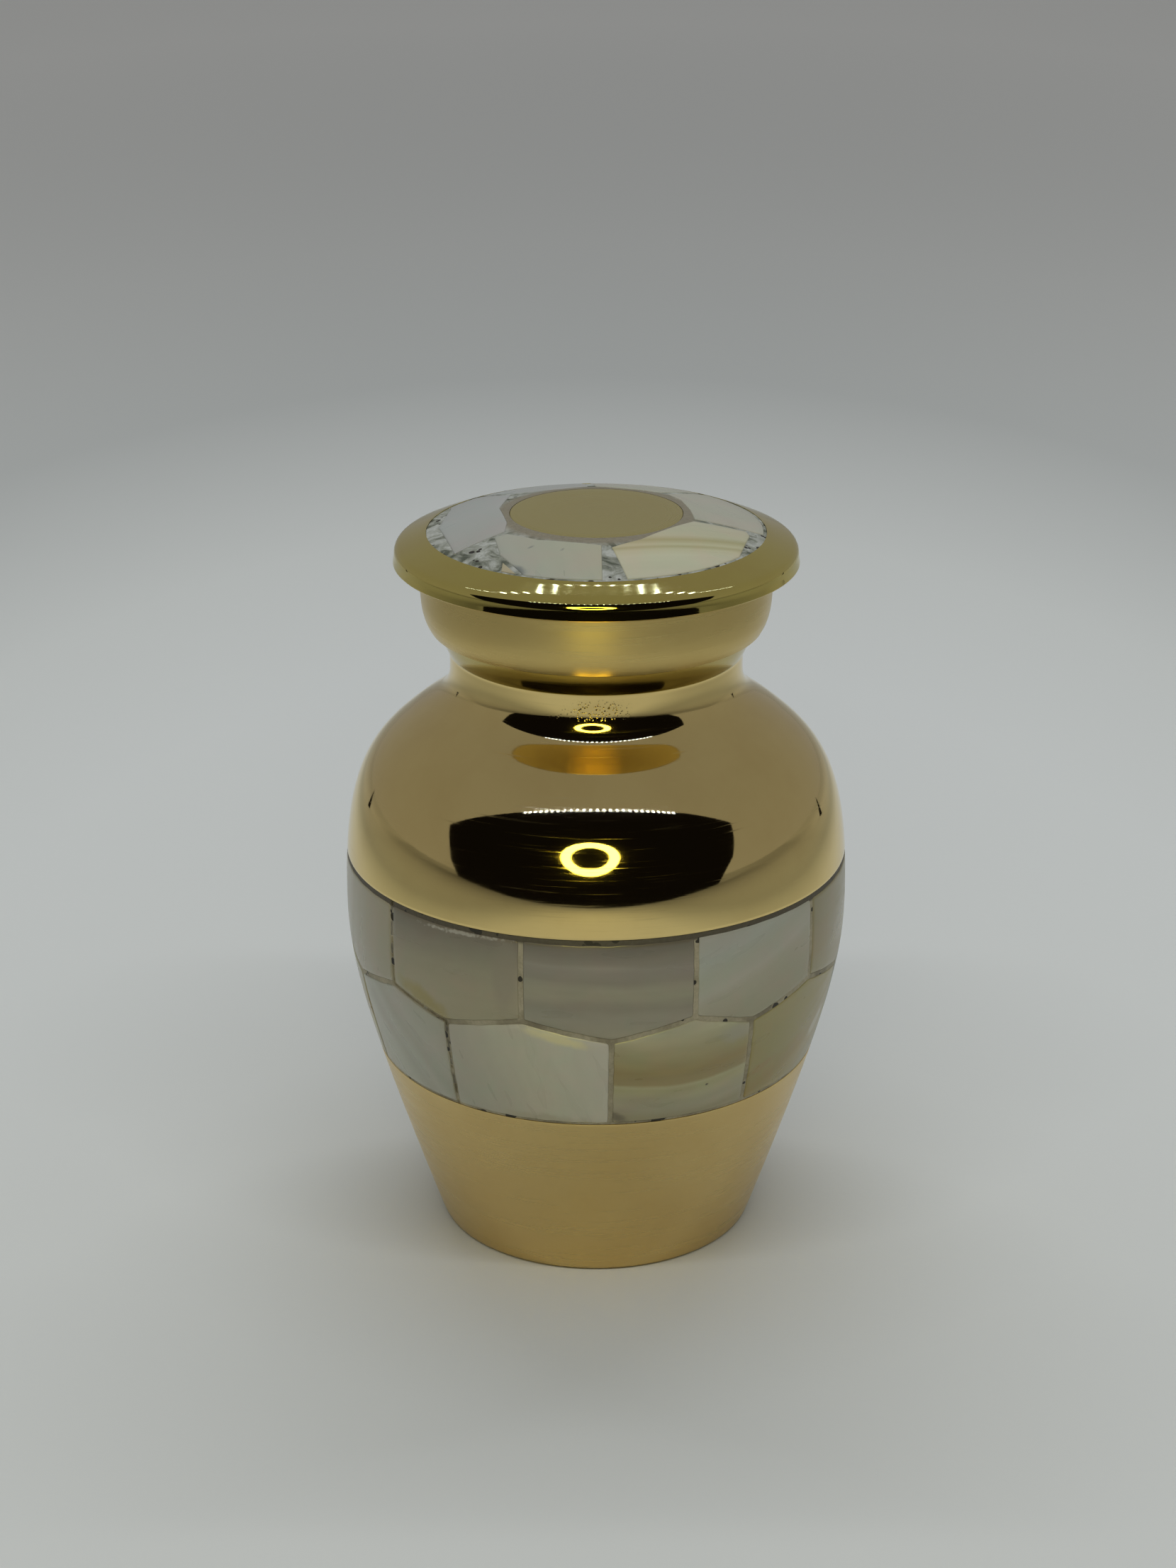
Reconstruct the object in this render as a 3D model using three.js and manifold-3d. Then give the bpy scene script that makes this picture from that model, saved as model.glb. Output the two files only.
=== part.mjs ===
// Keepsake cremation urn: a brass vessel and its lid, inlaid with mother-of-pearl tiles set in grey resin.
// Millimetres and degrees. The underside lies at height 0, +Z is up and the side shown first faces -Y.
// Turns are read from -Y towards +X. Everything round is worked out as an outline of radius and height.
import * as THREE from "three";
import { mergeVertices } from "three/addons/utils/BufferGeometryUtils.js";
import { ConvexGeometry } from "three/addons/geometries/ConvexGeometry.js";
import Module from "manifold-3d";

const wasm = await Module();
wasm.setup();

// Vessel
const footRadius = 16.1;
const footRounding = 0.4;
const bellyRadius = 25.4;
const bellyHeight = 36;
const shoulderTurnRadius = 18.8;
const shoulderTurnHeight = 54.5;
const neckRadius = 14.6;
const neckHeight = 61.2;
const wall = 2.4;
const floorThickness = 2.6;

// How far the outline leans out from upright, in degrees
const footLean = 19;
const shoulderTurnLean = -50.6;
const undercutLean = 40;
const collarTopLean = 3;

// Collar above the neck
const collarEdgeRadius = 16.5;
const collarEdgeRise = 2.8;
const collarRadius = 17.5;
const collarHeight = 9;

// Lid
const lidRestGap = 0.3;
const flangeRadius = 20;
const flangeThickness = 1.65;
const flangeTaper = 0.15;
const flangeRounding = 0.3;
const bevelRise = 1.3;
const lidInlayRadius = 16.7;
const discRadius = 8.5;
const discRise = 1.85;
const domeBulgeHeight = 0.15;
const lidWall = 1.6;
const spigotClearance = 0.3;
const spigotLength = 5;

// Inlay: the recess in the brass, the tiles and the resin that holds them
const bandBottom = 19.8;
const bandTop = 40.65;
const zigzagHeight = 30.8;
const zigzagDepth = 1.85;
const recessDepth = 1.4;
const tileThickness = 0.8;
const jointWidth = 0.5;
const bandTopJoint = 0.5;
const bandBottomJoint = 0.25;
const lidRimJoint = 0.3;
const settingGap = 0.1;
const resinSink = 0.06;

// Upright joints of the band, as turns: equal steps, each moved a little where the tiles were cut by hand
const tilesPerRow = 10;
const upperFirstTurn = -52;
const upperShifts = [0, -0.6, 2.1, 0.3, -1.2, 1.4, 0, 1, -1.5, 0.8];
const lowerFirstTurn = -34;
const lowerShifts = [-1.9, 1.3, -0.6, 1.5, -1, 0.6, 2, -0.8, 1.1, -0.4];
const lowerSlants = [-1.2, 0.1, 2.2, 0, 1, -0.6, 0.8, -1.2, 0.5, 1];

// Lid tiles, each a list of corners: the turn, and the share of the way from the disc (0) to the rim (1)
const pastRim = 1.4;
const lidTileOutlines = [
  [[-134, 0.39], [-103, 0.14], [-70, 0.07], [-57, 0.23], [-57.5, 0.94], [-88, 0.86], [-112, 0.9], [-133, pastRim]],
  [[-55, 0.24], [-34, 0.18], [-17, 0.13], [3.4, 0.19], [2, pastRim], [-24, pastRim], [-24.5, 0.99], [-41, 0.69], [-57, 0.41]],
  [[7, 0.25], [26, 0.11], [64, 0.05], [76, 0.14], [81.5, 0.77], [77.5, 0.84], [57, 0.97], [50, pastRim], [10.5, pastRim]],
  [[78.5, 0.14], [97, 0.08], [121, 0.14], [137, 0.2], [138, pastRim], [88, pastRim], [82.5, 0.9]],
  [[139.5, 0.2], [160, 0.09], [181, 0.17], [183, pastRim], [140, pastRim]],
  [[184, 0.17], [203, 0.1], [224, 0.36], [225, pastRim], [185.5, pastRim]],
];
const lidChipOutline = [[-36.5, 0.79], [-26, 1], [-33, 0.98]];

// Smoothness: sides round the vessel, and straight steps along each curved stretch
const roundSides = 36;
const curveSteps = 4;
const insideSteps = 8;
const domeSteps = 2;
const outlineFineness = 60;

// Materials
const brassColour = "#c9b27a";
const resinColour = "#8f9183";
const upperTileColours = ["#cfcab8", "#c9c8c2", "#cdc9c4", "#d3ccb9", "#c9c2a6"];
const lowerTileColours = ["#d4d6d3", "#b9b28a", "#c5b987", "#cdd0cc", "#d0d3d4"];
const lidTileColours = ["#c4cbd3", "#ccd1d0", "#d2d2c6", "#d6d9da", "#cfd3d4", "#c9ccc8"];
const chipColour = "#d8d2c2";

const brass = { color: brassColour, roughness: 0.22, metalness: 1 };
const resin = { color: resinColour, roughness: 0.5, metalness: 0 };

// A material of its own for each piece
function nacre(colour) {
  return { color: colour, roughness: 0.3, metalness: 0 };
}

function radians(degrees) {
  return THREE.MathUtils.degToRad(degrees);
}

function point(radius, height) {
  return new THREE.Vector2(radius, height);
}

// A smooth curve between two outline points that leaves and arrives at the given leans.
// A pull is how far the curve follows its lean, as a share of the height between the points.
function leaningCurve(start, startLean, startPull, end, endLean, endPull) {
  const rise = end.y - start.y;
  const along = (lean, pull) => point(Math.sin(radians(lean)), Math.cos(radians(lean))).multiplyScalar(pull * rise);
  const leave = start.clone().add(along(startLean, startPull));
  const arrive = end.clone().sub(along(endLean, endPull));
  return new THREE.CubicBezierCurve(start, leave, arrive, end);
}

const foot = point(footRadius, 0);
const belly = point(bellyRadius, bellyHeight);
const shoulderTurn = point(shoulderTurnRadius, shoulderTurnHeight);
const neck = point(neckRadius, neckHeight);
const collarEdge = point(collarEdgeRadius, neckHeight + collarEdgeRise);
const collarTop = point(collarRadius, neckHeight + collarHeight);

// The vessel's side from the foot to the neck
const lowerSide = leaningCurve(foot, footLean, 0.73, belly, 0, 0.17);
const shoulder = leaningCurve(belly, 0, 0.675, shoulderTurn, shoulderTurnLean, 0.29);
const neckHollow = leaningCurve(shoulderTurn, shoulderTurnLean, 0.56, neck, 0, 0.5);
const collarSide = leaningCurve(collarEdge, undercutLean, 0.3, collarTop, collarTopLean, 0.5);
const side = [lowerSide, shoulder, neckHollow].flatMap((curve) => curve.getPoints(outlineFineness));

// The point of the vessel's side at a height, moved into the brass by a depth square to the surface
function sidePoint(height, depth = 0) {
  const above = side.findIndex((place) => place.y > height);
  const next = above < 1 ? side.length - 1 : above;
  const low = side[next - 1].y < side[next].y ? side[next - 1] : side[next - 2];
  const high = side[next];
  const share = (height - low.y) / (high.y - low.y);
  const tangent = high.clone().sub(low).normalize();
  return low.clone().lerp(high, share).add(point(-tangent.y, tangent.x).multiplyScalar(depth));
}

// Points along the side between two heights, at one depth
function sideStretch(low, high, depth, steps) {
  return Array.from({ length: steps + 1 }, (_, step) => {
    return sidePoint(THREE.MathUtils.lerp(low, high, step / steps), depth);
  });
}

// A body of revolution about the upright axis. The outline runs with the solid on its left
// as it goes up the outside, and starts and ends on the axis or closes on itself.
function turned(outline) {
  const geometry = new THREE.LatheGeometry(outline, roundSides);
  geometry.rotateX(Math.PI / 2);
  return geometry;
}

function turnedRing(outline) {
  return turned([...outline, outline[0].clone()]);
}

// A closed mesh with shared corners merged, as a solid that can be cut
function solidFrom(geometry) {
  geometry.deleteAttribute("normal");
  geometry.deleteAttribute("uv");
  const merged = mergeVertices(geometry);
  const triangles = [];
  for (let start = 0; start < merged.index.count; start += 3) {
    const corners = [0, 1, 2].map((step) => merged.index.getX(start + step));
    if (new Set(corners).size === 3) {
      triangles.push(...corners);
    }
  }
  const vertProperties = new Float32Array(merged.attributes.position.array);
  const triVerts = new Uint32Array(triangles);
  return new wasm.Manifold(new wasm.Mesh({ numProp: 3, vertProperties, triVerts }));
}

function geometryFrom(solid) {
  const mesh = solid.getMesh();
  const geometry = new THREE.BufferGeometry();
  geometry.setAttribute("position", new THREE.BufferAttribute(mesh.vertProperties, 3));
  geometry.setIndex(new THREE.BufferAttribute(mesh.triVerts, 1));
  geometry.computeVertexNormals();
  return geometry;
}

// The outline of a flat shape, each edge moved in square to itself. A negative amount moves it out.
function insetOutline(corners, amount) {
  const turn = Math.sign(THREE.ShapeUtils.area(corners));
  return corners.map((corner, index) => {
    const before = corners[(index + corners.length - 1) % corners.length];
    const after = corners[(index + 1) % corners.length];
    const arriving = corner.clone().sub(before).normalize();
    const leaving = after.clone().sub(corner).normalize();
    const bisector = point(-arriving.y - leaving.y, arriving.x + leaving.x).multiplyScalar(turn).normalize();
    const spread = Math.abs(bisector.dot(arriving.clone().rotateAround(point(0, 0), Math.PI / 2)));
    return corner.clone().addScaledVector(bisector, amount / spread);
  });
}

// The brass vessel: its wall, the recess for the band, the neck and the collar
function vesselOutline() {
  const boreRadius = neckRadius - wall;
  const mouthRadius = collarRadius - wall;
  const inside = sideStretch(floorThickness + wall / 2, neckHeight - wall / 2, wall, insideSteps);
  const innerFloor = point(inside[0].x - wall / 2, floorThickness);
  return [
    point(0, 0),
    point(footRadius - footRounding, 0),
    sidePoint(footRounding),
    ...sideStretch(footRounding, bandBottom, 0, 2).slice(1),
    ...sideStretch(bandBottom, bandTop, recessDepth, curveSteps),
    ...sideStretch(bandTop, shoulderTurnHeight, 0, curveSteps),
    ...neckHollow.getPoints(curveSteps).slice(1),
    point(neckRadius, neckHeight + lidRestGap),
    ...collarSide.getPoints(curveSteps),
    point(mouthRadius, collarTop.y),
    point(mouthRadius, collarEdge.y),
    point(boreRadius, neckHeight),
    ...inside.reverse(),
    innerFloor,
    point(0, floorThickness),
  ];
}

// Places on the lid
const flangeUnderside = collarTop.y + lidRestGap;
const flangeCrease = flangeUnderside + flangeThickness;
const lidInlayEdge = point(lidInlayRadius, flangeCrease + bevelRise);
const discEdge = point(discRadius, lidInlayEdge.y + discRise);
const dome = new THREE.QuadraticBezierCurve(
  lidInlayEdge,
  lidInlayEdge.clone().lerp(discEdge, 0.5).add(point(domeBulgeHeight, 2 * domeBulgeHeight)),
  discEdge,
);

// A point of the lid's dome between its rim (0) and the disc (1), moved down by a depth
function domePoint(share, depth = 0) {
  return dome.getPoint(share).sub(point(0, depth));
}

function domeStretch(from, to, depth, steps) {
  return Array.from({ length: steps + 1 }, (_, step) => {
    return domePoint(THREE.MathUtils.lerp(from, to, step / steps), depth);
  });
}

// The brass lid: spigot, flange, bevel, recess and disc, hollow from below
function lidOutline() {
  const mouthRadius = collarRadius - wall;
  const spigotRadius = mouthRadius - spigotClearance;
  const hollowRadius = spigotRadius - lidWall;
  const spigotEnd = flangeUnderside - spigotLength;
  const ceiling = discEdge.y - recessDepth - lidWall;
  const hollowTop = domePoint(0).y - recessDepth - lidWall / 2;
  return [
    point(0, ceiling),
    point(discRadius, ceiling),
    point(hollowRadius, Math.min(hollowTop, ceiling)),
    point(hollowRadius, spigotEnd),
    point(spigotRadius, spigotEnd),
    point(spigotRadius, flangeUnderside),
    point(flangeRadius - flangeRounding, flangeUnderside),
    point(flangeRadius, flangeUnderside + flangeRounding),
    point(flangeRadius, flangeCrease - flangeRounding),
    point(flangeRadius - flangeTaper, flangeCrease),
    lidInlayEdge.clone(),
    ...domeStretch(0, 1, recessDepth, domeSteps),
    discEdge.clone(),
    point(0, discEdge.y),
  ];
}

// A shell that follows the vessel's side between two heights and two depths
function bandShell(low, high, outerDepth, innerDepth) {
  const outer = sideStretch(low, high, outerDepth, curveSteps);
  const inner = sideStretch(low, high, innerDepth, curveSteps);
  return solidFrom(turnedRing([...outer, ...inner.reverse()]));
}

// A shell that follows the lid's dome, from the rim towards the disc, between two depths
function lidShell(rimShare, discShare, outerDepth, innerDepth) {
  const outer = domeStretch(rimShare, discShare, outerDepth, domeSteps);
  const inner = domeStretch(rimShare, discShare, innerDepth, domeSteps);
  return solidFrom(turnedRing([...outer, ...inner.reverse()]));
}

// A wedge from the axis out through a tile's outline on the vessel's side.
// Corners are turns and heights; the outline is drawn in by an amount on every side.
function bandCutter(corners, amount) {
  const unrolled = corners.map(([turn, height]) => point(radians(turn) * bellyRadius, height));
  const reach = 2 * bellyRadius;
  const far = insetOutline(unrolled, amount).map((corner) => {
    const turn = corner.x / bellyRadius;
    const rise = ((corner.y - zigzagHeight) * reach) / sidePoint(corner.y).x;
    return new THREE.Vector3(reach * Math.sin(turn), -reach * Math.cos(turn), zigzagHeight + rise);
  });
  return solidFrom(new ConvexGeometry([new THREE.Vector3(0, 0, zigzagHeight), ...far]));
}

// An upright prism over a lid tile's outline, drawn in by an amount on every side
function lidCutter(corners, amount) {
  const plan = corners.map(([turn, share]) => {
    const radius = THREE.MathUtils.lerp(discRadius, lidInlayRadius, share);
    return point(radius * Math.sin(radians(turn)), -radius * Math.cos(radians(turn)));
  });
  const height = 2 * (flangeThickness + bevelRise + discRise);
  const geometry = new THREE.ExtrudeGeometry(new THREE.Shape(insetOutline(plan, amount)), {
    depth: height,
    bevelEnabled: false,
  });
  geometry.translate(0, 0, discEdge.y - height / 2);
  return solidFrom(geometry);
}

// Corner lists of the band's two rows. Each tile comes to a point where the other row's joint meets it.
function bandTileCorners() {
  const step = 360 / tilesPerRow;
  const upperJoint = (index) => upperFirstTurn + index * step + upperShifts[index % tilesPerRow];
  const lowerJoint = (index) => lowerFirstTurn + index * step + lowerShifts[index % tilesPerRow];
  const lowerJointFoot = (index) => lowerJoint(index) + lowerSlants[index % tilesPerRow];
  const high = zigzagHeight + zigzagDepth / 2;
  const low = zigzagHeight - zigzagDepth / 2;
  const top = bandTop + bandTopJoint;
  const bottom = bandBottom - bandTopJoint;
  const rows = { upper: [], lower: [] };
  for (let index = 0; index < tilesPerRow; index += 1) {
    rows.upper.push([
      [upperJoint(index), top],
      [upperJoint(index), high],
      [lowerJoint(index), low],
      [upperJoint(index + 1), high],
      [upperJoint(index + 1), top],
    ]);
    rows.lower.push([
      [lowerJoint(index), low],
      [lowerJointFoot(index), bottom],
      [lowerJointFoot(index + 1), bottom],
      [lowerJoint(index + 1), low],
      [upperJoint(index + 1), high],
    ]);
  }
  return rows;
}

const urn = new THREE.Group();
urn.name = "cremation_urn";

function addPiece(name, geometry, look) {
  const mesh = new THREE.Mesh(geometry, new THREE.MeshStandardMaterial(look));
  mesh.name = name;
  urn.add(mesh);
}

function addBrass() {
  addPiece("urn_body", geometryFrom(solidFrom(turned(vesselOutline()))), brass);
  addPiece("lid", geometryFrom(solidFrom(turned(lidOutline()))), brass);
}

function addBand() {
  const tileBottom = bandBottom + bandBottomJoint;
  const tileTop = bandTop - bandTopJoint;
  const shell = bandShell(tileBottom, tileTop, 0, tileThickness);
  const pockets = bandShell(tileBottom - settingGap, tileTop + settingGap, -1, tileThickness + settingGap);
  let bed = bandShell(bandBottom + settingGap, bandTop - settingGap, resinSink, recessDepth - settingGap);
  const rows = bandTileCorners();
  const looks = { upper: upperTileColours, lower: lowerTileColours };
  for (const row of ["upper", "lower"]) {
    rows[row].forEach((corners, index) => {
      const tile = shell.intersect(bandCutter(corners, jointWidth / 2));
      const colour = looks[row][index % looks[row].length];
      addPiece(`${row}_tile_${index + 1}`, geometryFrom(tile), nacre(colour));
      bed = bed.subtract(pockets.intersect(bandCutter(corners, jointWidth / 2 - settingGap)));
    });
  }
  addPiece("band_resin", geometryFrom(bed), resin);
}

function addLidInlay() {
  const width = lidInlayRadius - discRadius;
  const shares = (rimJoint, discJoint) => [rimJoint / width, 1 - discJoint / width];
  const shell = lidShell(...shares(lidRimJoint, settingGap), 0, tileThickness);
  const pockets = lidShell(...shares(lidRimJoint - settingGap, settingGap / 2), -1, tileThickness + settingGap);
  let bed = lidShell(...shares(settingGap, settingGap), resinSink, recessDepth - settingGap);
  const outlines = [...lidTileOutlines, lidChipOutline];
  outlines.forEach((corners, index) => {
    const isChip = index === lidTileOutlines.length;
    const inset = isChip ? settingGap : jointWidth / 4;
    const name = isChip ? "lid_chip" : `lid_tile_${index + 1}`;
    const colour = isChip ? chipColour : lidTileColours[index];
    addPiece(name, geometryFrom(shell.intersect(lidCutter(corners, inset))), nacre(colour));
    bed = bed.subtract(pockets.intersect(lidCutter(corners, inset - settingGap)));
  });
  addPiece("lid_resin", geometryFrom(bed), resin);
}

addBrass();
addBand();
addLidInlay();

export default urn;
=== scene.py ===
"""Keepsake cremation urn: polished and satin brass, inlaid with mother-of-pearl set in grey-green resin."""

import logging
import math
from dataclasses import dataclass, field
from enum import Enum
from typing import Callable, Sequence

import bmesh
import bpy
import numpy as np
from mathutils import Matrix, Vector
from mathutils.geometry import delaunay_2d_cdt


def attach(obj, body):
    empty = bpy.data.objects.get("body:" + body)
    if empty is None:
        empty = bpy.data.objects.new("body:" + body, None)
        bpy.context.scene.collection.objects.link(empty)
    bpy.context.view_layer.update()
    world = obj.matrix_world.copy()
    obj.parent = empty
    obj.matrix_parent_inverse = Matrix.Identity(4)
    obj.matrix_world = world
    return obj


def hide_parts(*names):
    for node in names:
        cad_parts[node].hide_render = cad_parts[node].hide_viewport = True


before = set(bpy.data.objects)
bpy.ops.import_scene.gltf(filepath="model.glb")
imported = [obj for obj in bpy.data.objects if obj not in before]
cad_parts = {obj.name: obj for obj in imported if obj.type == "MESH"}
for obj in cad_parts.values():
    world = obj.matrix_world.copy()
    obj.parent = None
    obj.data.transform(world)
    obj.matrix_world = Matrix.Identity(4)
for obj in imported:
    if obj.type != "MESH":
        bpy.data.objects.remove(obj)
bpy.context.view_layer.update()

log = logging.getLogger("urn")

MM = 0.001

Point2 = tuple[float, float]
Colour = tuple[float, float, float, float]


def linear(hex_colour: str, gain: float = 1.0) -> Colour:
    """Turns an sRGB hex colour into the linear colour that the shaders work in.

    Args:
        hex_colour: Six hex digits after a hash.
        gain: A factor on the linear values.

    Returns:
        Red, green, blue and an alpha of 1.
    """
    channels = []
    for start in (1, 3, 5):
        value = int(hex_colour[start:start + 2], 16) / 255
        channels.append(gain * (value / 12.92 if value <= 0.04045 else ((value + 0.055) / 1.055) ** 2.4))
    return (channels[0], channels[1], channels[2], 1.0)


def add_node(tree: bpy.types.NodeTree, kind: str, inputs: dict | None = None,
             **settings: object) -> bpy.types.Node:
    """Adds a shader node, sets its properties and fills or links its inputs.

    Args:
        tree: The node tree that takes the node.
        kind: The node's Blender type name, without the word ShaderNode that it starts with.
        inputs: Values or output sockets by the name or number of the input.
        **settings: Properties of the node itself.

    Returns:
        The new node.
    """
    node = tree.nodes.new("ShaderNode" + kind)
    for name, value in settings.items():
        setattr(node, name, value)
    for name, value in (inputs or {}).items():
        if isinstance(value, bpy.types.NodeSocket):
            tree.links.new(value, node.inputs[name])
        else:
            node.inputs[name].default_value = value
    return node


def new_material(name: str) -> tuple[bpy.types.Material, bpy.types.NodeTree, bpy.types.Node]:
    """Makes a material with nothing in it yet but its shader.

    Args:
        name: The material's name.

    Returns:
        The material, its node tree and its shader node.
    """
    material = bpy.data.materials.new(name)
    material.use_nodes = True
    tree = material.node_tree
    return material, tree, tree.nodes["Principled BSDF"]


def fill_ramp(node: bpy.types.Node, stops: Sequence[tuple[float, Colour]]) -> bpy.types.Node:
    """Gives a colour ramp its stops.

    Args:
        node: The colour ramp node.
        stops: Positions with their linear colours, in rising order.

    Returns:
        The same node.
    """
    elements = node.color_ramp.elements
    while len(elements) > 1:
        elements.remove(elements[-1])
    elements[0].position, elements[0].color = stops[0]
    for position, colour in stops[1:]:
        elements.new(position).color = colour
    return node


def grey(value: float) -> Colour:
    """A linear grey."""
    return (value, value, value, 1.0)


class Zone(Enum):
    """How a stretch of brass was finished."""

    POLISHED = 0
    SATIN = 1
    COLLAR = 2
    GROOVE = 3


def leaning_curve(start: Point2, start_lean: float, start_pull: float, end: Point2, end_lean: float,
                  end_pull: float, steps: int) -> np.ndarray:
    """Points of a smooth curve that leaves and arrives at given leans from upright.

    Args:
        start: Radius and height where it starts.
        start_lean: Lean there in degrees, outwards.
        start_pull: How far it follows that lean, as a share of the rise.
        end: Radius and height where it ends.
        end_lean: Lean there in degrees.
        end_pull: How far it follows that lean, as a share of the rise.
        steps: Number of straight steps.

    Returns:
        An array of radius and height rows.
    """
    first, last = np.array(start, float), np.array(end, float)
    rise = last[1] - first[1]
    leave = first + start_pull * rise * np.array([math.sin(math.radians(start_lean)),
                                                  math.cos(math.radians(start_lean))])
    arrive = last - end_pull * rise * np.array([math.sin(math.radians(end_lean)),
                                                math.cos(math.radians(end_lean))])
    t = np.linspace(0, 1, steps + 1)[:, None]
    return (1 - t) ** 3 * first + 3 * (1 - t) ** 2 * t * leave + 3 * (1 - t) * t ** 2 * arrive + t ** 3 * last


def rounded(outline: Sequence[Point2], radii: dict[int, float], steps: int = 5) -> list[Point2]:
    """Rounds chosen corners of an outline.

    Args:
        outline: The corners, in order.
        radii: Length cut from each side of a corner, by the corner's place in the outline.
        steps: Straight steps in each rounding.

    Returns:
        The outline with those corners rounded.
    """
    made: list[Point2] = []
    for index, corner in enumerate(outline):
        cut = radii.get(index)
        if not cut:
            made.append(tuple(corner))
            continue
        here = np.array(corner, float)
        before = np.array(outline[index - 1], float) - here
        after = np.array(outline[(index + 1) % len(outline)], float) - here
        start = here + before / np.linalg.norm(before) * cut
        end = here + after / np.linalg.norm(after) * cut
        for t in np.linspace(0, 1, steps + 1):
            made.append(tuple((1 - t) ** 2 * start + 2 * (1 - t) * t * here + t ** 2 * end))
    return made


def densify(outline: Sequence[Point2], spacing: float, closed: bool = True) -> list[Point2]:
    """Adds points along an outline so that none are further apart than the spacing.

    Args:
        outline: The corners, in order.
        spacing: The longest step wanted, in millimetres.
        closed: Whether the last corner joins the first.

    Returns:
        The denser outline.
    """
    made: list[Point2] = []
    count = len(outline) if closed else len(outline) - 1
    for index in range(count):
        here = np.array(outline[index], float)
        after = np.array(outline[(index + 1) % len(outline)], float)
        steps = max(1, math.ceil(float(np.linalg.norm(after - here)) / spacing))
        made.extend(tuple(here + (after - here) * step / steps) for step in range(steps))
    if not closed:
        made.append(tuple(outline[-1]))
    return made


def signed_area(outline: Sequence[Point2]) -> float:
    """The area of an outline, positive if it runs anticlockwise."""
    x, y = np.array(outline, float).T
    return 0.5 * float(np.sum(x * np.roll(y, -1) - np.roll(x, -1) * y))


def inset(outline: Sequence[Point2], amount: float) -> list[Point2]:
    """Moves each edge of an outline in, square to itself.

    Args:
        outline: The corners, in order.
        amount: How far each edge moves in, in millimetres.

    Returns:
        The smaller outline.
    """
    turn = math.copysign(1.0, signed_area(outline))
    corners = np.array(outline, float)
    made = []
    for index in range(len(corners)):
        arriving = corners[index] - corners[index - 1]
        leaving = corners[(index + 1) % len(corners)] - corners[index]
        arriving /= np.linalg.norm(arriving)
        leaving /= np.linalg.norm(leaving)
        bisector = turn * np.array([-arriving[1] - leaving[1], arriving[0] + leaving[0]])
        bisector /= np.linalg.norm(bisector)
        spread = abs(float(np.dot(bisector, [-arriving[1], arriving[0]])))
        made.append(tuple(corners[index] + bisector * amount / max(spread, 0.3)))
    return made


def within(points: np.ndarray, outline: Sequence[Point2]) -> np.ndarray:
    """Which points lie inside an outline.

    Args:
        points: Rows of x and y.
        outline: The closed outline.

    Returns:
        True or False for each point.
    """
    corners = np.array(outline, float)
    inside = np.zeros(len(points), bool)
    for (x0, y0), (x1, y1) in zip(corners, np.roll(corners, -1, axis=0)):
        if y0 == y1:
            continue
        crosses = (points[:, 1] >= min(y0, y1)) & (points[:, 1] < max(y0, y1))
        inside ^= crosses & (points[:, 0] < x0 + (points[:, 1] - y0) * (x1 - x0) / (y1 - y0))
    return inside


def clipped_to_circle(outline: Sequence[Point2], radius: float, spacing: float) -> list[Point2]:
    """The part of an outline inside a circle about the origin, closed along the circle.

    Args:
        outline: Corners, some of which may lie outside the circle in one unbroken run.
        radius: The circle's radius.
        spacing: The step along the circle.

    Returns:
        The clipped outline.
    """
    dense = densify(outline, spacing / 4)
    lies_in = [math.hypot(*place) <= radius for place in dense]
    if all(lies_in):
        return list(outline)
    start = next(i for i in range(len(dense)) if lies_in[i] and not lies_in[i - 1])
    ordered = dense[start:] + dense[:start]
    kept = [place for place in ordered if math.hypot(*place) <= radius]
    entry, leave = (math.atan2(place[1], place[0]) for place in (kept[0], kept[-1]))
    sweep = (entry - leave + math.pi) % (2 * math.pi) - math.pi
    steps = max(2, math.ceil(abs(sweep) * radius / spacing))
    arc = [(radius * math.cos(leave + sweep * k / steps), radius * math.sin(leave + sweep * k / steps))
           for k in range(steps + 1)]
    return kept[::2] + arc


def new_object(name: str, vertices: np.ndarray, faces: Sequence[Sequence[int]],
               crease_degrees: float = 32.0,
               merge: float = 0.0) -> bpy.types.Object:
    """Makes a mesh object from points in millimetres.

    Args:
        name: The object's name.
        vertices: Rows of x, y and z in millimetres.
        faces: Corner numbers of each face.
        crease_degrees: Edges that turn more than this stay sharp.
        merge: Points closer than this, in millimetres, become one.

    Returns:
        The object, linked to the scene.
    """
    mesh = bpy.data.meshes.new(name)
    mesh.from_pydata((np.asarray(vertices, float) * MM).tolist(), [], [list(face) for face in faces])
    if merge:
        work = bmesh.new()
        work.from_mesh(mesh)
        bmesh.ops.remove_doubles(work, verts=work.verts, dist=merge * MM)
        work.to_mesh(mesh)
        work.free()
    mesh.validate()
    mesh.shade_smooth()
    mesh.set_sharp_from_angle(angle=math.radians(crease_degrees))
    made = bpy.data.objects.new(name, mesh)
    bpy.context.scene.collection.objects.link(made)
    return made


def turned(name: str, outline: Sequence[Point2], sides: int,
           crease_degrees: float = 32.0) -> bpy.types.Object:
    """A body of revolution about the upright axis.

    Args:
        name: The object's name.
        outline: Radius and height rows, up the outside with the solid on the left. It closes on itself.
        sides: Number of sides round the axis.
        crease_degrees: Edges that turn more than this stay sharp.

    Returns:
        The object.
    """
    angles = np.linspace(0, 2 * math.pi, sides, endpoint=False)
    vertices: list[tuple[float, float, float]] = []
    rings: list[list[int]] = []
    for radius, height in outline:
        first = len(vertices)
        if radius < 1e-6:
            vertices.append((0.0, 0.0, height))
            rings.append([first] * sides)
            continue
        vertices.extend((radius * math.sin(a), -radius * math.cos(a), height) for a in angles)
        rings.append(list(range(first, first + sides)))
    faces = []
    for low, high in zip(rings, rings[1:] + rings[:1]):
        if low[0] == low[1] and high[0] == high[1]:
            continue
        for side in range(sides):
            after = (side + 1) % sides
            faces.append(list(dict.fromkeys([low[side], low[after], high[after], high[side]])))
    return new_object(name, np.array(vertices), faces, crease_degrees)


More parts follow.
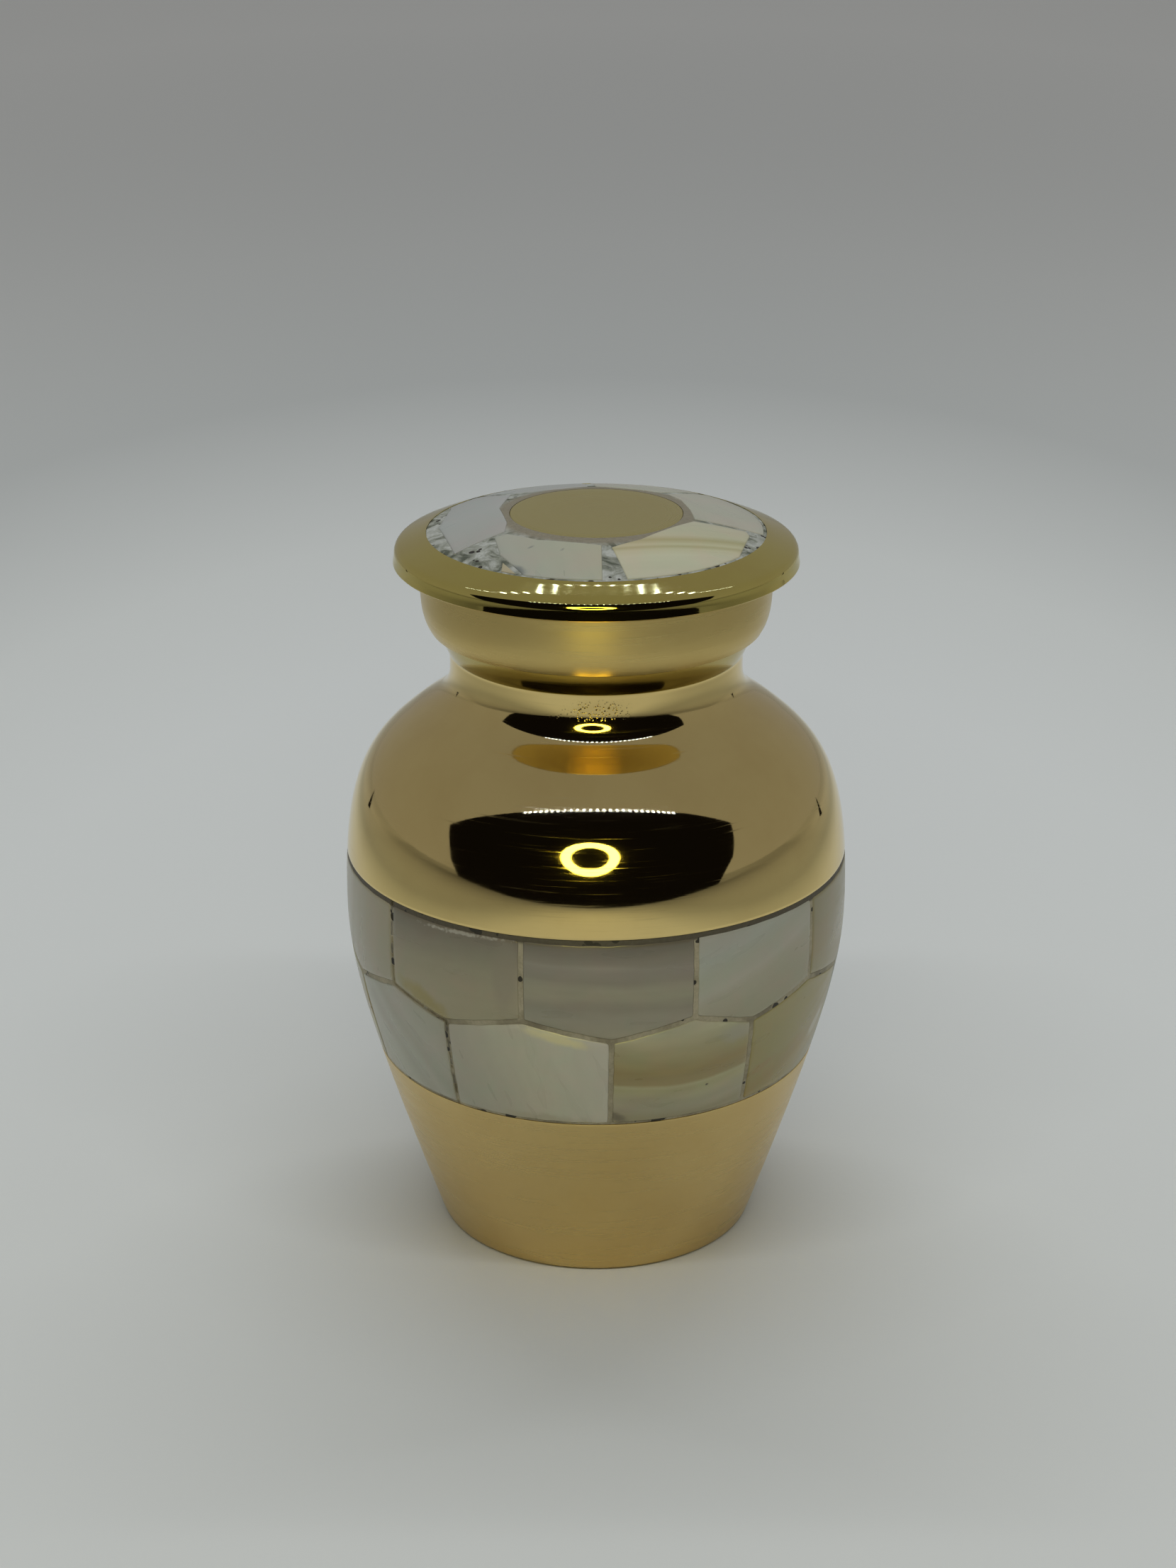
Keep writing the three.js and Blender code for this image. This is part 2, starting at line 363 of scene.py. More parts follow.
def triangulated(points: Sequence[Point2], loops: Sequence[Sequence[int]]) -> tuple[np.ndarray, np.ndarray]:
    """Triangles between points in the plane that keep given closed loops as edges.

    Args:
        points: The points.
        loops: Closed loops, as numbers into the points.

    Returns:
        The points used and the triangles' corner numbers.
    """
    edges = [(loop[k], loop[(k + 1) % len(loop)]) for loop in loops for k in range(len(loop))]
    made, _, faces, *_ = delaunay_2d_cdt([Vector(place) for place in points], edges, [], 0, 1e-5, False)
    kept = [list(face) for face in faces if len(face) == 3]
    return np.array([tuple(place) for place in made]), np.array(kept)


def boundary_edges(triangles: np.ndarray) -> list[tuple[int, int]]:
    """The directed edges that only one triangle uses."""
    directed = {(int(t[k]), int(t[(k + 1) % 3])) for t in triangles for k in range(3)}
    return [edge for edge in directed if (edge[1], edge[0]) not in directed]


def anticlockwise(points: np.ndarray, triangles: np.ndarray) -> np.ndarray:
    """Turns triangles to run anticlockwise and drops those without area.

    Args:
        points: Rows of x and y.
        triangles: Corner numbers of each triangle.

    Returns:
        The corner numbers of the triangles that are left.
    """
    a, b, c = (points[triangles[:, k]] for k in range(3))
    area = (b[:, 0] - a[:, 0]) * (c[:, 1] - a[:, 1]) - (c[:, 0] - a[:, 0]) * (b[:, 1] - a[:, 1])
    made = triangles.copy()
    made[area < 0] = made[area < 0][:, ::-1]
    return made[np.abs(area) > 1e-9]


def grid_points(outline: Sequence[Point2], spacing: float) -> list[Point2]:
    """Evenly spaced points inside an outline.

    Args:
        outline: The closed outline.
        spacing: Distance between points.

    Returns:
        The points.
    """
    corners = np.array(outline, float)
    low, high = corners.min(0), corners.max(0)
    x, y = np.meshgrid(np.arange(low[0], high[0], spacing) + spacing / 2,
                       np.arange(low[1], high[1], spacing) + spacing / 2)
    places = np.column_stack([x.ravel(), y.ravel()])
    return [tuple(place) for place in places[within(places, outline)]]


Chart = Callable[[np.ndarray, np.ndarray], np.ndarray]


def inlaid_piece(name: str, outline: Sequence[Point2], chart: Chart, thickness: float, edge_round: float,
                 spacing: float, lift: float = 0.0) -> bpy.types.Object:
    """A thin closed piece that follows a curved surface, with its upper edges rubbed round.

    Args:
        name: The object's name.
        outline: The piece's outline in the chart, in millimetres.
        chart: Turns chart places and depths into points in space.
        thickness: How thick the piece is.
        edge_round: Width of the rounding along the edge.
        spacing: Step of the mesh across the piece.
        lift: Depth of the face below the surface, in millimetres.

    Returns:
        The object, with a UV map in which one unit is ten millimetres from the piece's middle.
    """
    outer = densify(outline, spacing)
    middle = inset(outer, edge_round / 3)
    inner = inset(outer, edge_round)
    rows = [outer, middle, inner]
    points = [place for row in rows for place in row]
    loops, first = [], 0
    for row in rows:
        loops.append(list(range(first, first + len(row))))
        first += len(row)
    points += grid_points(inset(inner, spacing * 0.4), spacing)
    flat, triangles = triangulated(points, loops)
    centres = flat[triangles].mean(1)
    triangles = anticlockwise(flat, triangles[within(centres, outer)])
    depth = np.full(len(flat), lift)
    for row, drop in ((outer, 0.75), (middle, 0.22)):
        row_points = np.array(row)
        near = np.min(np.linalg.norm(flat[:, None, :] - row_points[None, :, :], axis=2), axis=1) < 1e-4
        depth[near] = lift + drop * edge_round
    top = chart(flat, depth)
    bottom = chart(flat, np.full(len(flat), lift + thickness))
    count = len(flat)
    faces = [list(t) for t in triangles]
    faces += [[t[2] + count, t[1] + count, t[0] + count] for t in triangles]
    faces += [[b, a, a + count, b + count] for a, b in boundary_edges(triangles)]
    made = new_object(name, np.vstack([top, bottom]), faces, 50.0)
    mesh = made.data
    places = np.vstack([flat, flat])
    uv = mesh.uv_layers.new(name="piece")
    corners = np.zeros(len(mesh.loops), np.int32)
    mesh.loops.foreach_get("vertex_index", corners)
    middle_place = (np.min(flat, axis=0) + np.max(flat, axis=0)) / 2
    uv.data.foreach_set("uv", ((places[corners] - middle_place) / 10).astype(np.float32).ravel())
    return made


def inlay_bed(name: str, loops: Sequence[Sequence[Point2]], pockets: Sequence[Sequence[Point2]],
              chart: Chart,
              sink: float, pocket_depth: float, back_depth: float, extra: Sequence[Point2] = (),
              roughness: Callable[[np.ndarray], np.ndarray] | None = None) -> bpy.types.Object:
    """The cast bed round the tiles: joints between pockets, on a continuous back.

    Args:
        name: The object's name.
        loops: The bed's boundary loops in the chart, the outer one first.
        pockets: Outlines of the places where tiles sit.
        chart: Turns chart places and depths into points in space.
        sink: Depth of the joints below the surface.
        pocket_depth: Depth of the pockets' floors.
        back_depth: Depth of the bed's back.
        extra: More points to mesh in the joints.
        roughness: Extra depth of the joints' surface at chart places.

    Returns:
        The object.
    """
    outlines = [list(loop) for loop in loops] + [list(pocket) for pocket in pockets]
    points: list[Point2] = []
    numbered = []
    for outline in outlines:
        numbered.append(list(range(len(points), len(points) + len(outline))))
        points += outline
    points += list(extra)
    flat, triangles = triangulated(points, numbered)
    centres = flat[triangles].mean(1)
    inside = within(centres, loops[0])
    for hole in loops[1:]:
        inside &= ~within(centres, hole)
    triangles = anticlockwise(flat, triangles[inside])
    centres = flat[triangles].mean(1)
    in_pocket = np.zeros(len(triangles), bool)
    for pocket in pockets:
        in_pocket |= within(centres, pocket)
    count = len(flat)
    joint_depth = np.full(count, sink)
    if roughness is not None:
        joint_depth = joint_depth + roughness(flat)
    vertices = np.vstack([
        chart(flat, joint_depth),
        chart(flat, np.full(count, pocket_depth)),
        chart(flat, np.full(count, back_depth)),
    ])
    faces = [list(t) for t in triangles[~in_pocket]]
    faces += [[c + count for c in t] for t in triangles[in_pocket]]
    faces += [[t[2] + 2 * count, t[1] + 2 * count, t[0] + 2 * count] for t in triangles]
    outside_edges = set(boundary_edges(triangles))
    for a, b in boundary_edges(triangles[~in_pocket]):
        base = 2 * count if (a, b) in outside_edges else count
        faces.append([b, a, a + base, b + base])
    return new_object(name, vertices, faces, 40.0, merge=1e-4)


# Steps of noise a metre round the piece, and across the marks. Drawn out like this, each mark runs round the
# piece as the wheel leaves it. Real hairlines are finer than a pixel, and these are drawn about 0.17 mm wide.
RING_RUN = 40.0
STREAK_STEPS = (60.0, 60.0, 900.0)
HAIRLINE_STEPS = (90.0, 90.0, 6000.0)
# The faint ripple that buffing leaves, about 0.3 mm from crest to crest
PEEL_STEPS = 3200.0
# A quarter turn lays the glow of a satin face across its rings
ACROSS_THE_RINGS = 0.25

# The pits' patch at the neck's root: how far its middle is aside, and where it starts and ends fading out
PIT_PATCH_ASIDE_MM = 0.9
PIT_PATCH_FADE_MM = (2.4, 4.4)
# Clusters about 6 mm apart, of pits about 0.24 mm apart
PIT_CLUSTER_STEPS = 160.0
PIT_STEPS = 4200.0
PIT_DEPTH_MM = 0.02


@dataclass(frozen=True)
class BrassFinish:
    """Yellow brass, turned on a lathe and then polished or rubbed satin round its axis.

    It reads as a warm yellow mirror; fine rings left by the wheel blur it more the less it was polished.
    """

    name: str
    colour: str = "#e8cf8c"
    roughness: float = 0.05
    roughness_spread: float = 0.02
    anisotropy: float = 0.0
    ring_spacing_mm: float = 0.12
    ring_depth_mm: float = 0.0004
    cloud_size_mm: float = 9.0
    tarnish: str = "#c9a868"
    tarnish_share: float = 0.25
    faced: bool = False
    metallic: float = 1.0
    pit: str = "#3a2d16"
    haze: float = 0.0
    peel_mm: float = 0.0
    pit_zone_mm: tuple[float, float] = (0.0, 0.0)

    def make(self) -> bpy.types.Material:
        """Builds the material.

        Returns:
            The finished material.
        """
        material, tree, shader = new_material(self.name)
        place = add_node(tree, "TexCoord").outputs["Object"]
        spread = add_node(tree, "SeparateXYZ", {"Vector": place})
        radius = add_node(tree, "VectorMath", {0: add_node(tree, "CombineXYZ", {
            "X": spread.outputs["X"], "Y": spread.outputs["Y"]}).outputs["Vector"]},
                          operation="LENGTH").outputs["Value"]
        wheel_way = add_node(tree, "CombineXYZ", {
            "X": spread.outputs["X"], "Y": spread.outputs["Y"],
            "Z": radius if self.faced else spread.outputs["Z"]}).outputs["Vector"]
        rings_place = add_node(tree, "Mapping", {
            "Vector": wheel_way,
            "Scale": (RING_RUN, RING_RUN, 1 / (self.ring_spacing_mm * MM))}).outputs["Vector"]
        rings = add_node(tree, "TexNoise", {
            "Vector": rings_place, "Scale": 1.0, "Detail": 3.0, "Roughness": 0.65}).outputs["Fac"]
        clouds = add_node(tree, "TexNoise", {
            "Vector": place, "Scale": 1 / (self.cloud_size_mm * MM), "Detail": 5.0,
            "Roughness": 0.6}).outputs["Fac"]
        streaks_place = add_node(tree, "Mapping", {
            "Vector": wheel_way, "Scale": STREAK_STEPS}).outputs["Vector"]
        streaks = add_node(tree, "TexNoise", {
            "Vector": streaks_place, "Scale": 1.0, "Detail": 4.0, "Roughness": 0.6}).outputs["Fac"]
        stain_and_shade_share = add_node(tree, "MapRange", {
            "Value": clouds, "From Min": 0.42, "From Max": 0.75, "To Min": 0.0,
            "To Max": self.tarnish_share}).outputs["Result"]
        colour = add_node(tree, "Mix", {
            0: stain_and_shade_share, 6: linear(self.colour), 7: linear(self.tarnish)}, data_type="RGBA").outputs[2]
        tree.links.new(colour, shader.inputs["Base Color"])
        wear = add_node(tree, "Math", {0: rings, 1: streaks}, operation="ADD").outputs["Value"]
        rough = add_node(tree, "MapRange", {
            "Value": wear, "From Min": 0.7, "From Max": 1.3,
            "To Min": self.roughness - self.roughness_spread,
            "To Max": self.roughness + self.roughness_spread}).outputs["Result"]
        if self.haze:
            veil = add_node(tree, "MapRange", {
                "Value": clouds, "From Min": 0.4, "From Max": 0.7, "To Min": 0.0,
                "To Max": self.haze}).outputs["Result"]
            rough = add_node(tree, "Math", {0: rough, 1: veil}, operation="ADD").outputs["Value"]
            hair_place = add_node(tree, "Mapping", {
                "Vector": wheel_way, "Scale": HAIRLINE_STEPS}).outputs["Vector"]
            hairs = add_node(tree, "TexNoise", {
                "Vector": hair_place, "Scale": 1.0, "Detail": 3.0, "Roughness": 0.6}).outputs["Fac"]
            rubbed = add_node(tree, "MapRange", {
                "Value": hairs, "From Min": 0.58, "From Max": 0.72, "To Min": 0.0,
                "To Max": 0.16}).outputs["Result"]
            rough = add_node(tree, "Math", {0: rough, 1: rubbed}, operation="ADD").outputs["Value"]
        tree.links.new(rough, shader.inputs["Roughness"])
        shader.inputs["Metallic"].default_value = self.metallic
        shader.inputs["Anisotropic"].default_value = self.anisotropy
        shader.inputs["Anisotropic Rotation"].default_value = ACROSS_THE_RINGS
        if self.anisotropy:
            round_axis = add_node(tree, "Tangent", direction_type="RADIAL", axis="Z")
            tree.links.new(round_axis.outputs["Tangent"], shader.inputs["Tangent"])
        bump = add_node(tree, "Bump", {
            "Height": rings, "Strength": 1.0, "Distance": self.ring_depth_mm * MM})
        normal = bump.outputs["Normal"]
        if self.peel_mm:
            peel = add_node(tree, "TexNoise",
                            {"Vector": place, "Scale": PEEL_STEPS, "Detail": 2.0}).outputs["Fac"]
            normal = add_node(tree, "Bump", {
                "Height": peel, "Strength": 1.0, "Distance": self.peel_mm * MM,
                "Normal": normal}).outputs["Normal"]
        if self.pit_zone_mm[1] > self.pit_zone_mm[0]:
            depth, normal = self._pits(tree, place, normal)
            colour = add_node(tree, "Mix", {0: depth, 6: colour, 7: linear(self.pit)},
                              data_type="RGBA").outputs[2]
            tree.links.new(colour, shader.inputs["Base Color"])
        tree.links.new(normal, shader.inputs["Normal"])
        return material

    def _pits(self, tree: bpy.types.NodeTree, place: bpy.types.NodeSocket,
              normal: bpy.types.NodeSocket) -> tuple[bpy.types.NodeSocket, bpy.types.NodeSocket]:
        """Casting pits in a zone of heights, where the polishing wheel couldn't reach.

        Args:
            tree: The material's node tree.
            place: The place on the piece.
            normal: The normal that the pits are added to.

        Returns:
            How deep the pits are, and the normal with them.
        """
        low, high = (height * MM for height in self.pit_zone_mm)
        spread = add_node(tree, "SeparateXYZ", {"Vector": place})
        height = spread.outputs["Z"]
        offset = add_node(tree, "Math", {0: spread.outputs["X"], 1: PIT_PATCH_ASIDE_MM * MM},
                          operation="ADD").outputs["Value"]
        aside = add_node(tree, "Math", {0: offset}, operation="ABSOLUTE").outputs["Value"]
        near = add_node(tree, "MapRange", {
            "Value": aside, "From Min": PIT_PATCH_FADE_MM[0] * MM, "From Max": PIT_PATCH_FADE_MM[1] * MM,
            "To Min": 1.0, "To Max": 0.0}).outputs["Result"]
        rise = add_node(tree, "MapRange", {
            "Value": height, "From Min": low, "From Max": low + 0.4 * (high - low)}).outputs["Result"]
        fall = add_node(tree, "MapRange", {
            "Value": height, "From Min": high - 0.4 * (high - low), "From Max": high,
            "To Min": 1.0, "To Max": 0.0}).outputs["Result"]
        zone = add_node(tree, "Math", {0: rise, 1: fall}, operation="MULTIPLY").outputs["Value"]
        patches = add_node(tree, "TexNoise", {
            "Vector": place, "Scale": PIT_CLUSTER_STEPS, "Detail": 2.0}).outputs["Fac"]
        patchy = add_node(tree, "MapRange", {
            "Value": patches, "From Min": 0.4, "From Max": 0.52}).outputs["Result"]
        cells = add_node(tree, "TexVoronoi", {"Vector": place, "Scale": PIT_STEPS}).outputs["Distance"]
        holes = add_node(tree, "MapRange", {
            "Value": cells, "From Min": 0.2, "From Max": 0.36, "To Min": 1.0,
            "To Max": 0.0}).outputs["Result"]
        amount = add_node(tree, "Math", {0: zone, 1: patchy}, operation="MULTIPLY").outputs["Value"]
        amount = add_node(tree, "Math", {0: amount, 1: near}, operation="MULTIPLY").outputs["Value"]
        depth = add_node(tree, "Math", {0: amount, 1: holes}, operation="MULTIPLY").outputs["Value"]
        bump = add_node(tree, "Bump", {
            "Height": depth, "Strength": 1.0, "Distance": PIT_DEPTH_MM * MM, "Normal": normal}, invert=True)
        dull = add_node(tree, "Math", {0: amount, 1: 0.12}, operation="MULTIPLY").outputs["Value"]
        shown = add_node(tree, "Math", {0: depth, 1: dull}, operation="MAXIMUM").outputs["Value"]
        return shown, bump.outputs["Normal"]


@dataclass(frozen=True)
class StainAndHighlight:
    """A soft-edged mark in one place of a tile, in millimetres from the tile's middle: a stain, and on one
    tile a painted highlight.
    """

    x: float
    y: float
    reach: float
    across: float
    lean: float
    colour: str
    strength: float = 1.0
    ragged: float = 0.6


@dataclass(frozen=True)
class NacreFinish:
    """Mother-of-pearl sawn from shell, ground to the curve and polished.

    It reads as soft milky bands, the edges of its growth layers, with faint rose and green clouds under a
    wet gloss.
    """

    name: str
    stops: tuple[tuple[float, str], ...]
    lean: float = 0.0
    bow: float = 0.0
    span_mm: float = 11.0
    waviness: float = 0.12
    line_share: float = 0.035
    roughness: float = 0.3
    tone: float = 0.8
    stains_and_highlights: tuple[StainAndHighlight, ...] = ()
    seed: float = 0.0

    def make(self) -> bpy.types.Material:
        """Builds the material. The bands run across the piece's own UV map, in units of ten millimetres.

        Returns:
            The finished material.
        """
        material, tree, shader = new_material(self.name)
        own = add_node(tree, "TexCoord").outputs["UV"]
        across = add_node(tree, "SeparateXYZ", {"Vector": add_node(tree, "Mapping", {
            "Vector": own, "Rotation": (0.0, 0.0, -math.radians(self.lean))}).outputs["Vector"]})
        along, up = across.outputs["X"], across.outputs["Y"]
        squared = add_node(tree, "Math", {0: along, 1: along}, operation="MULTIPLY").outputs["Value"]
        bowed = add_node(tree, "Math", {0: squared, 1: self.bow, 2: up},
                         operation="MULTIPLY_ADD").outputs["Value"]
        shifted = add_node(tree, "VectorMath", {0: own, 1: (self.seed, self.seed * 0.7, self.seed)},
                           operation="ADD").outputs["Vector"]
        swell = add_node(tree, "TexNoise", {
            "Vector": shifted, "Scale": 1.3, "Detail": 3.0, "Roughness": 0.5}).outputs["Fac"]
        waved = add_node(tree, "Math", {0: swell, 1: self.waviness, 2: bowed},
                         operation="MULTIPLY_ADD").outputs["Value"]
        position = add_node(tree, "MapRange", {
            "Value": waved, "From Min": -self.span_mm / 20 + self.waviness / 2,
            "From Max": self.span_mm / 20 + self.waviness / 2}).outputs["Result"]
        bands = fill_ramp(add_node(tree, "ValToRGB", {"Fac": position}),
                          [(stop, linear(colour, self.tone)) for stop,
                           colour in self.stops]).outputs["Color"]
        # Growth lines: about three to a millimetre on the shell, drawn about 1.7 mm apart so that they show
        line_place = add_node(tree, "CombineXYZ", {
            "X": add_node(tree, "Math", {0: along, 1: 1.3}, operation="MULTIPLY").outputs["Value"],
            "Y": add_node(tree, "Math", {0: waved, 1: 6.0}, operation="MULTIPLY").outputs["Value"],
            "Z": self.seed}).outputs["Vector"]
        lines = add_node(tree, "TexNoise", {
            "Vector": line_place, "Scale": 1.0, "Detail": 1.5, "Roughness": 0.5}).outputs["Fac"]
        line_tone = add_node(tree, "MapRange", {
            "Value": lines, "From Min": 0.3, "From Max": 0.7, "To Min": 1 - self.line_share,
            "To Max": 1 + self.line_share * 0.6}).outputs["Result"]
        toned = add_node(tree, "VectorMath", {0: bands, "Scale": line_tone},
                         operation="SCALE").outputs["Vector"]
        cloud = add_node(tree, "TexNoise", {
            "Vector": shifted, "Scale": 2.4, "Detail": 2.0, "Distortion": 0.8}).outputs["Fac"]
        pearl = fill_ramp(add_node(tree, "ValToRGB", {"Fac": cloud}), [
            (0.3, (0.97, 1.015, 1.0, 1.0)), (0.5, (1.0, 1.0, 1.0, 1.0)),
            (0.68, (1.03, 0.985, 1.0, 1.0))]).outputs["Color"]
        colour = add_node(tree, "VectorMath", {0: toned, 1: pearl}, operation="MULTIPLY").outputs["Vector"]
        # Stains, and on one tile a painted highlight, laid over the colour
        for stain_and_painted_light in self.stains_and_highlights:
            colour = self._stained_and_highlighted(tree, own, colour, stain_and_painted_light)
        tree.links.new(colour, shader.inputs["Base Color"])
        rough = add_node(tree, "MapRange", {
            "Value": lines, "From Min": 0.25, "From Max": 0.75, "To Min": self.roughness - 0.06,
            "To Max": self.roughness + 0.08}).outputs["Result"]
        tree.links.new(rough, shader.inputs["Roughness"])
        shader.inputs["IOR"].default_value = 1.53
        shader.inputs["Coat Weight"].default_value = 0.25
        shader.inputs["Coat Roughness"].default_value = 0.12
        bump = add_node(tree, "Bump", {
            "Height": lines, "Strength": 0.2, "Distance": 0.012 * MM}).outputs["Normal"]
        tree.links.new(bump, shader.inputs["Normal"])
        return material

    def _stained_and_highlighted(self, tree: bpy.types.NodeTree, own: bpy.types.NodeSocket, colour: bpy.types.NodeSocket,
                 stain_and_painted_light: StainAndHighlight) -> bpy.types.NodeSocket:
        """Lays a soft-edged mark over the colour.

        Args:
            tree: The material's node tree.
            own: The piece's own coordinates.
            colour: The colour that the mark lies over.
            stain_and_painted_light: The mark.

        Returns:
            The colour with the mark.
        """
        ragged = add_node(tree, "TexNoise", {
            "Vector": own, "Scale": 6.0 / max(stain_and_painted_light.across, 0.3), "Detail": 3.0}).outputs["Fac"]
        placed = add_node(tree, "Mapping", {
            "Vector": own, "Location": (stain_and_painted_light.x / 10, stain_and_painted_light.y / 10, 0.0),
            "Rotation": (0.0, 0.0, math.radians(stain_and_painted_light.lean)),
            "Scale": (stain_and_painted_light.reach / 10, stain_and_painted_light.across / 10, 1.0)}, vector_type="TEXTURE").outputs["Vector"]
        distance = add_node(tree, "VectorMath", {0: placed}, operation="LENGTH").outputs["Value"]
        uneven = add_node(tree, "Math", {0: ragged, 1: 2 * stain_and_painted_light.ragged, 2: distance},
                          operation="MULTIPLY_ADD").outputs["Value"]
        amount = add_node(tree, "MapRange", {
            "Value": uneven, "From Min": 0.3 + stain_and_painted_light.ragged, "From Max": 1.0 + stain_and_painted_light.ragged,
            "To Min": stain_and_painted_light.strength,
            "To Max": 0.0}, interpolation_type="SMOOTHSTEP").outputs["Result"]
        return add_node(tree, "Mix", {0: amount, 6: colour, 7: linear(stain_and_painted_light.colour, self.tone)},
                        data_type="RGBA").outputs[2]


@dataclass(frozen=True)
class ResinFinish:
    """Filled polyester resin, poured round the tiles and ground flush.

    It reads as a dull cement, khaki round the shoulder and grey-green on the lid, with dark pinholes and pale
    grains of shell dust.
    """

    name: str
    colour: str = "#a39a7e"
    dark: str = "#887f66"
    pale: str = "#b8af93"
    pit: str = "#2c281f"
    even: str = "#8b8573"
    # Colour of the painted shade along the upper joint, under the brass lip
    stain_and_painted_light: str = "#5a5342"
    grain_mm: float = 0.35
    marbled: bool = False
    plain_within_mm: float = 0.0
    # Height above which the resin takes that painted shade
    lip_shade_above_mm: float = 1000.0

    def make(self) -> bpy.types.Material:
        """Builds the material.

        Returns:
            The finished material.
        """
        material, tree, shader = new_material(self.name)
        place = add_node(tree, "TexCoord").outputs["Object"]
        grains = add_node(tree, "TexNoise", {
            "Vector": place, "Scale": 1 / (self.grain_mm * MM), "Detail": 4.0,
            "Roughness": 0.7}).outputs["Fac"]
        # Blotches about 2.4 mm across and pinholes 0.8 mm apart where it is marbled, elsewhere 4.3 and 1.1 mm
        blotches = add_node(tree, "TexNoise", {
            "Vector": place, "Scale": 420.0 if self.marbled else 230.0, "Detail": 5.0, "Roughness": 0.62,
            "Distortion": 1.2 if self.marbled else 0.2}).outputs["Fac"]
        tone = fill_ramp(add_node(tree, "ValToRGB", {"Fac": blotches}), [
            (0.36, linear(self.dark)), (0.47, linear(self.colour)),
            (0.6, linear(self.pale))]).outputs["Color"]
        spread = add_node(tree, "SeparateXYZ", {"Vector": place})
        radius = add_node(tree, "VectorMath", {0: add_node(tree, "CombineXYZ", {
            "X": spread.outputs["X"], "Y": spread.outputs["Y"]}).outputs["Vector"]},
                          operation="LENGTH").outputs["Value"]
        coarse = add_node(tree, "MapRange", {
            "Value": radius, "From Min": self.plain_within_mm * MM,
            "From Max": (self.plain_within_mm + 1.0) * MM,
            }).outputs["Result"]
        tone = add_node(tree, "Mix", {0: coarse, 6: linear(self.even), 7: tone},
                        data_type="RGBA").outputs[2]
        # Painted shade: resin above that height, along the band's upper joint under the brass lip, is
        # darkened
        stain_and_shade_share = add_node(tree, "MapRange", {
            "Value": spread.outputs["Z"], "From Min": self.lip_shade_above_mm * MM,
            "From Max": (self.lip_shade_above_mm + 0.25) * MM, "To Min": 0.0,
            "To Max": 1.0}).outputs["Result"]
        tone = add_node(tree, "Mix", {0: stain_and_shade_share, 6: tone, 7: linear(self.stain_and_painted_light)},
                        data_type="RGBA").outputs[2]
        fleck = add_node(tree, "MapRange", {
            "Value": grains, "From Min": 0.3, "From Max": 0.7, "To Min": 0.82,
            "To Max": 1.15}).outputs["Result"]
        flecked = add_node(tree, "VectorMath", {0: tone, "Scale": fleck},
                           operation="SCALE").outputs["Vector"]
        cells = add_node(tree, "TexVoronoi", {
            "Vector": place, "Scale": 1300.0 if self.marbled else 900.0}).outputs["Distance"]
        clusters = add_node(tree, "TexNoise",
                            {"Vector": place, "Scale": 330.0, "Detail": 2.0}).outputs["Fac"]
        reach = add_node(tree, "MapRange", {
            "Value": clusters, "From Min": 0.46 if self.marbled else 0.52, "From Max": 0.66, "To Min": 0.02,
            "To Max": 0.46}).outputs["Result"]
        kept = add_node(tree, "Math", {0: reach, 1: coarse}, operation="MULTIPLY").outputs["Value"]
        holes = add_node(tree, "Math", {0: cells, 1: kept}, operation="LESS_THAN").outputs["Value"]
        colour = add_node(tree, "Mix", {0: holes, 6: flecked, 7: linear(self.pit)},
                          data_type="RGBA").outputs[2]
        tree.links.new(colour, shader.inputs["Base Color"])
        shader.inputs["Roughness"].default_value = 0.55
        shader.inputs["IOR"].default_value = 1.5
        relief = add_node(tree, "Math", {0: grains, 1: holes}, operation="SUBTRACT").outputs["Value"]
        bump = add_node(tree, "Bump", {
            "Height": relief, "Strength": 0.8, "Distance": 0.06 * MM}).outputs["Normal"]
        tree.links.new(bump, shader.inputs["Normal"])
        return material


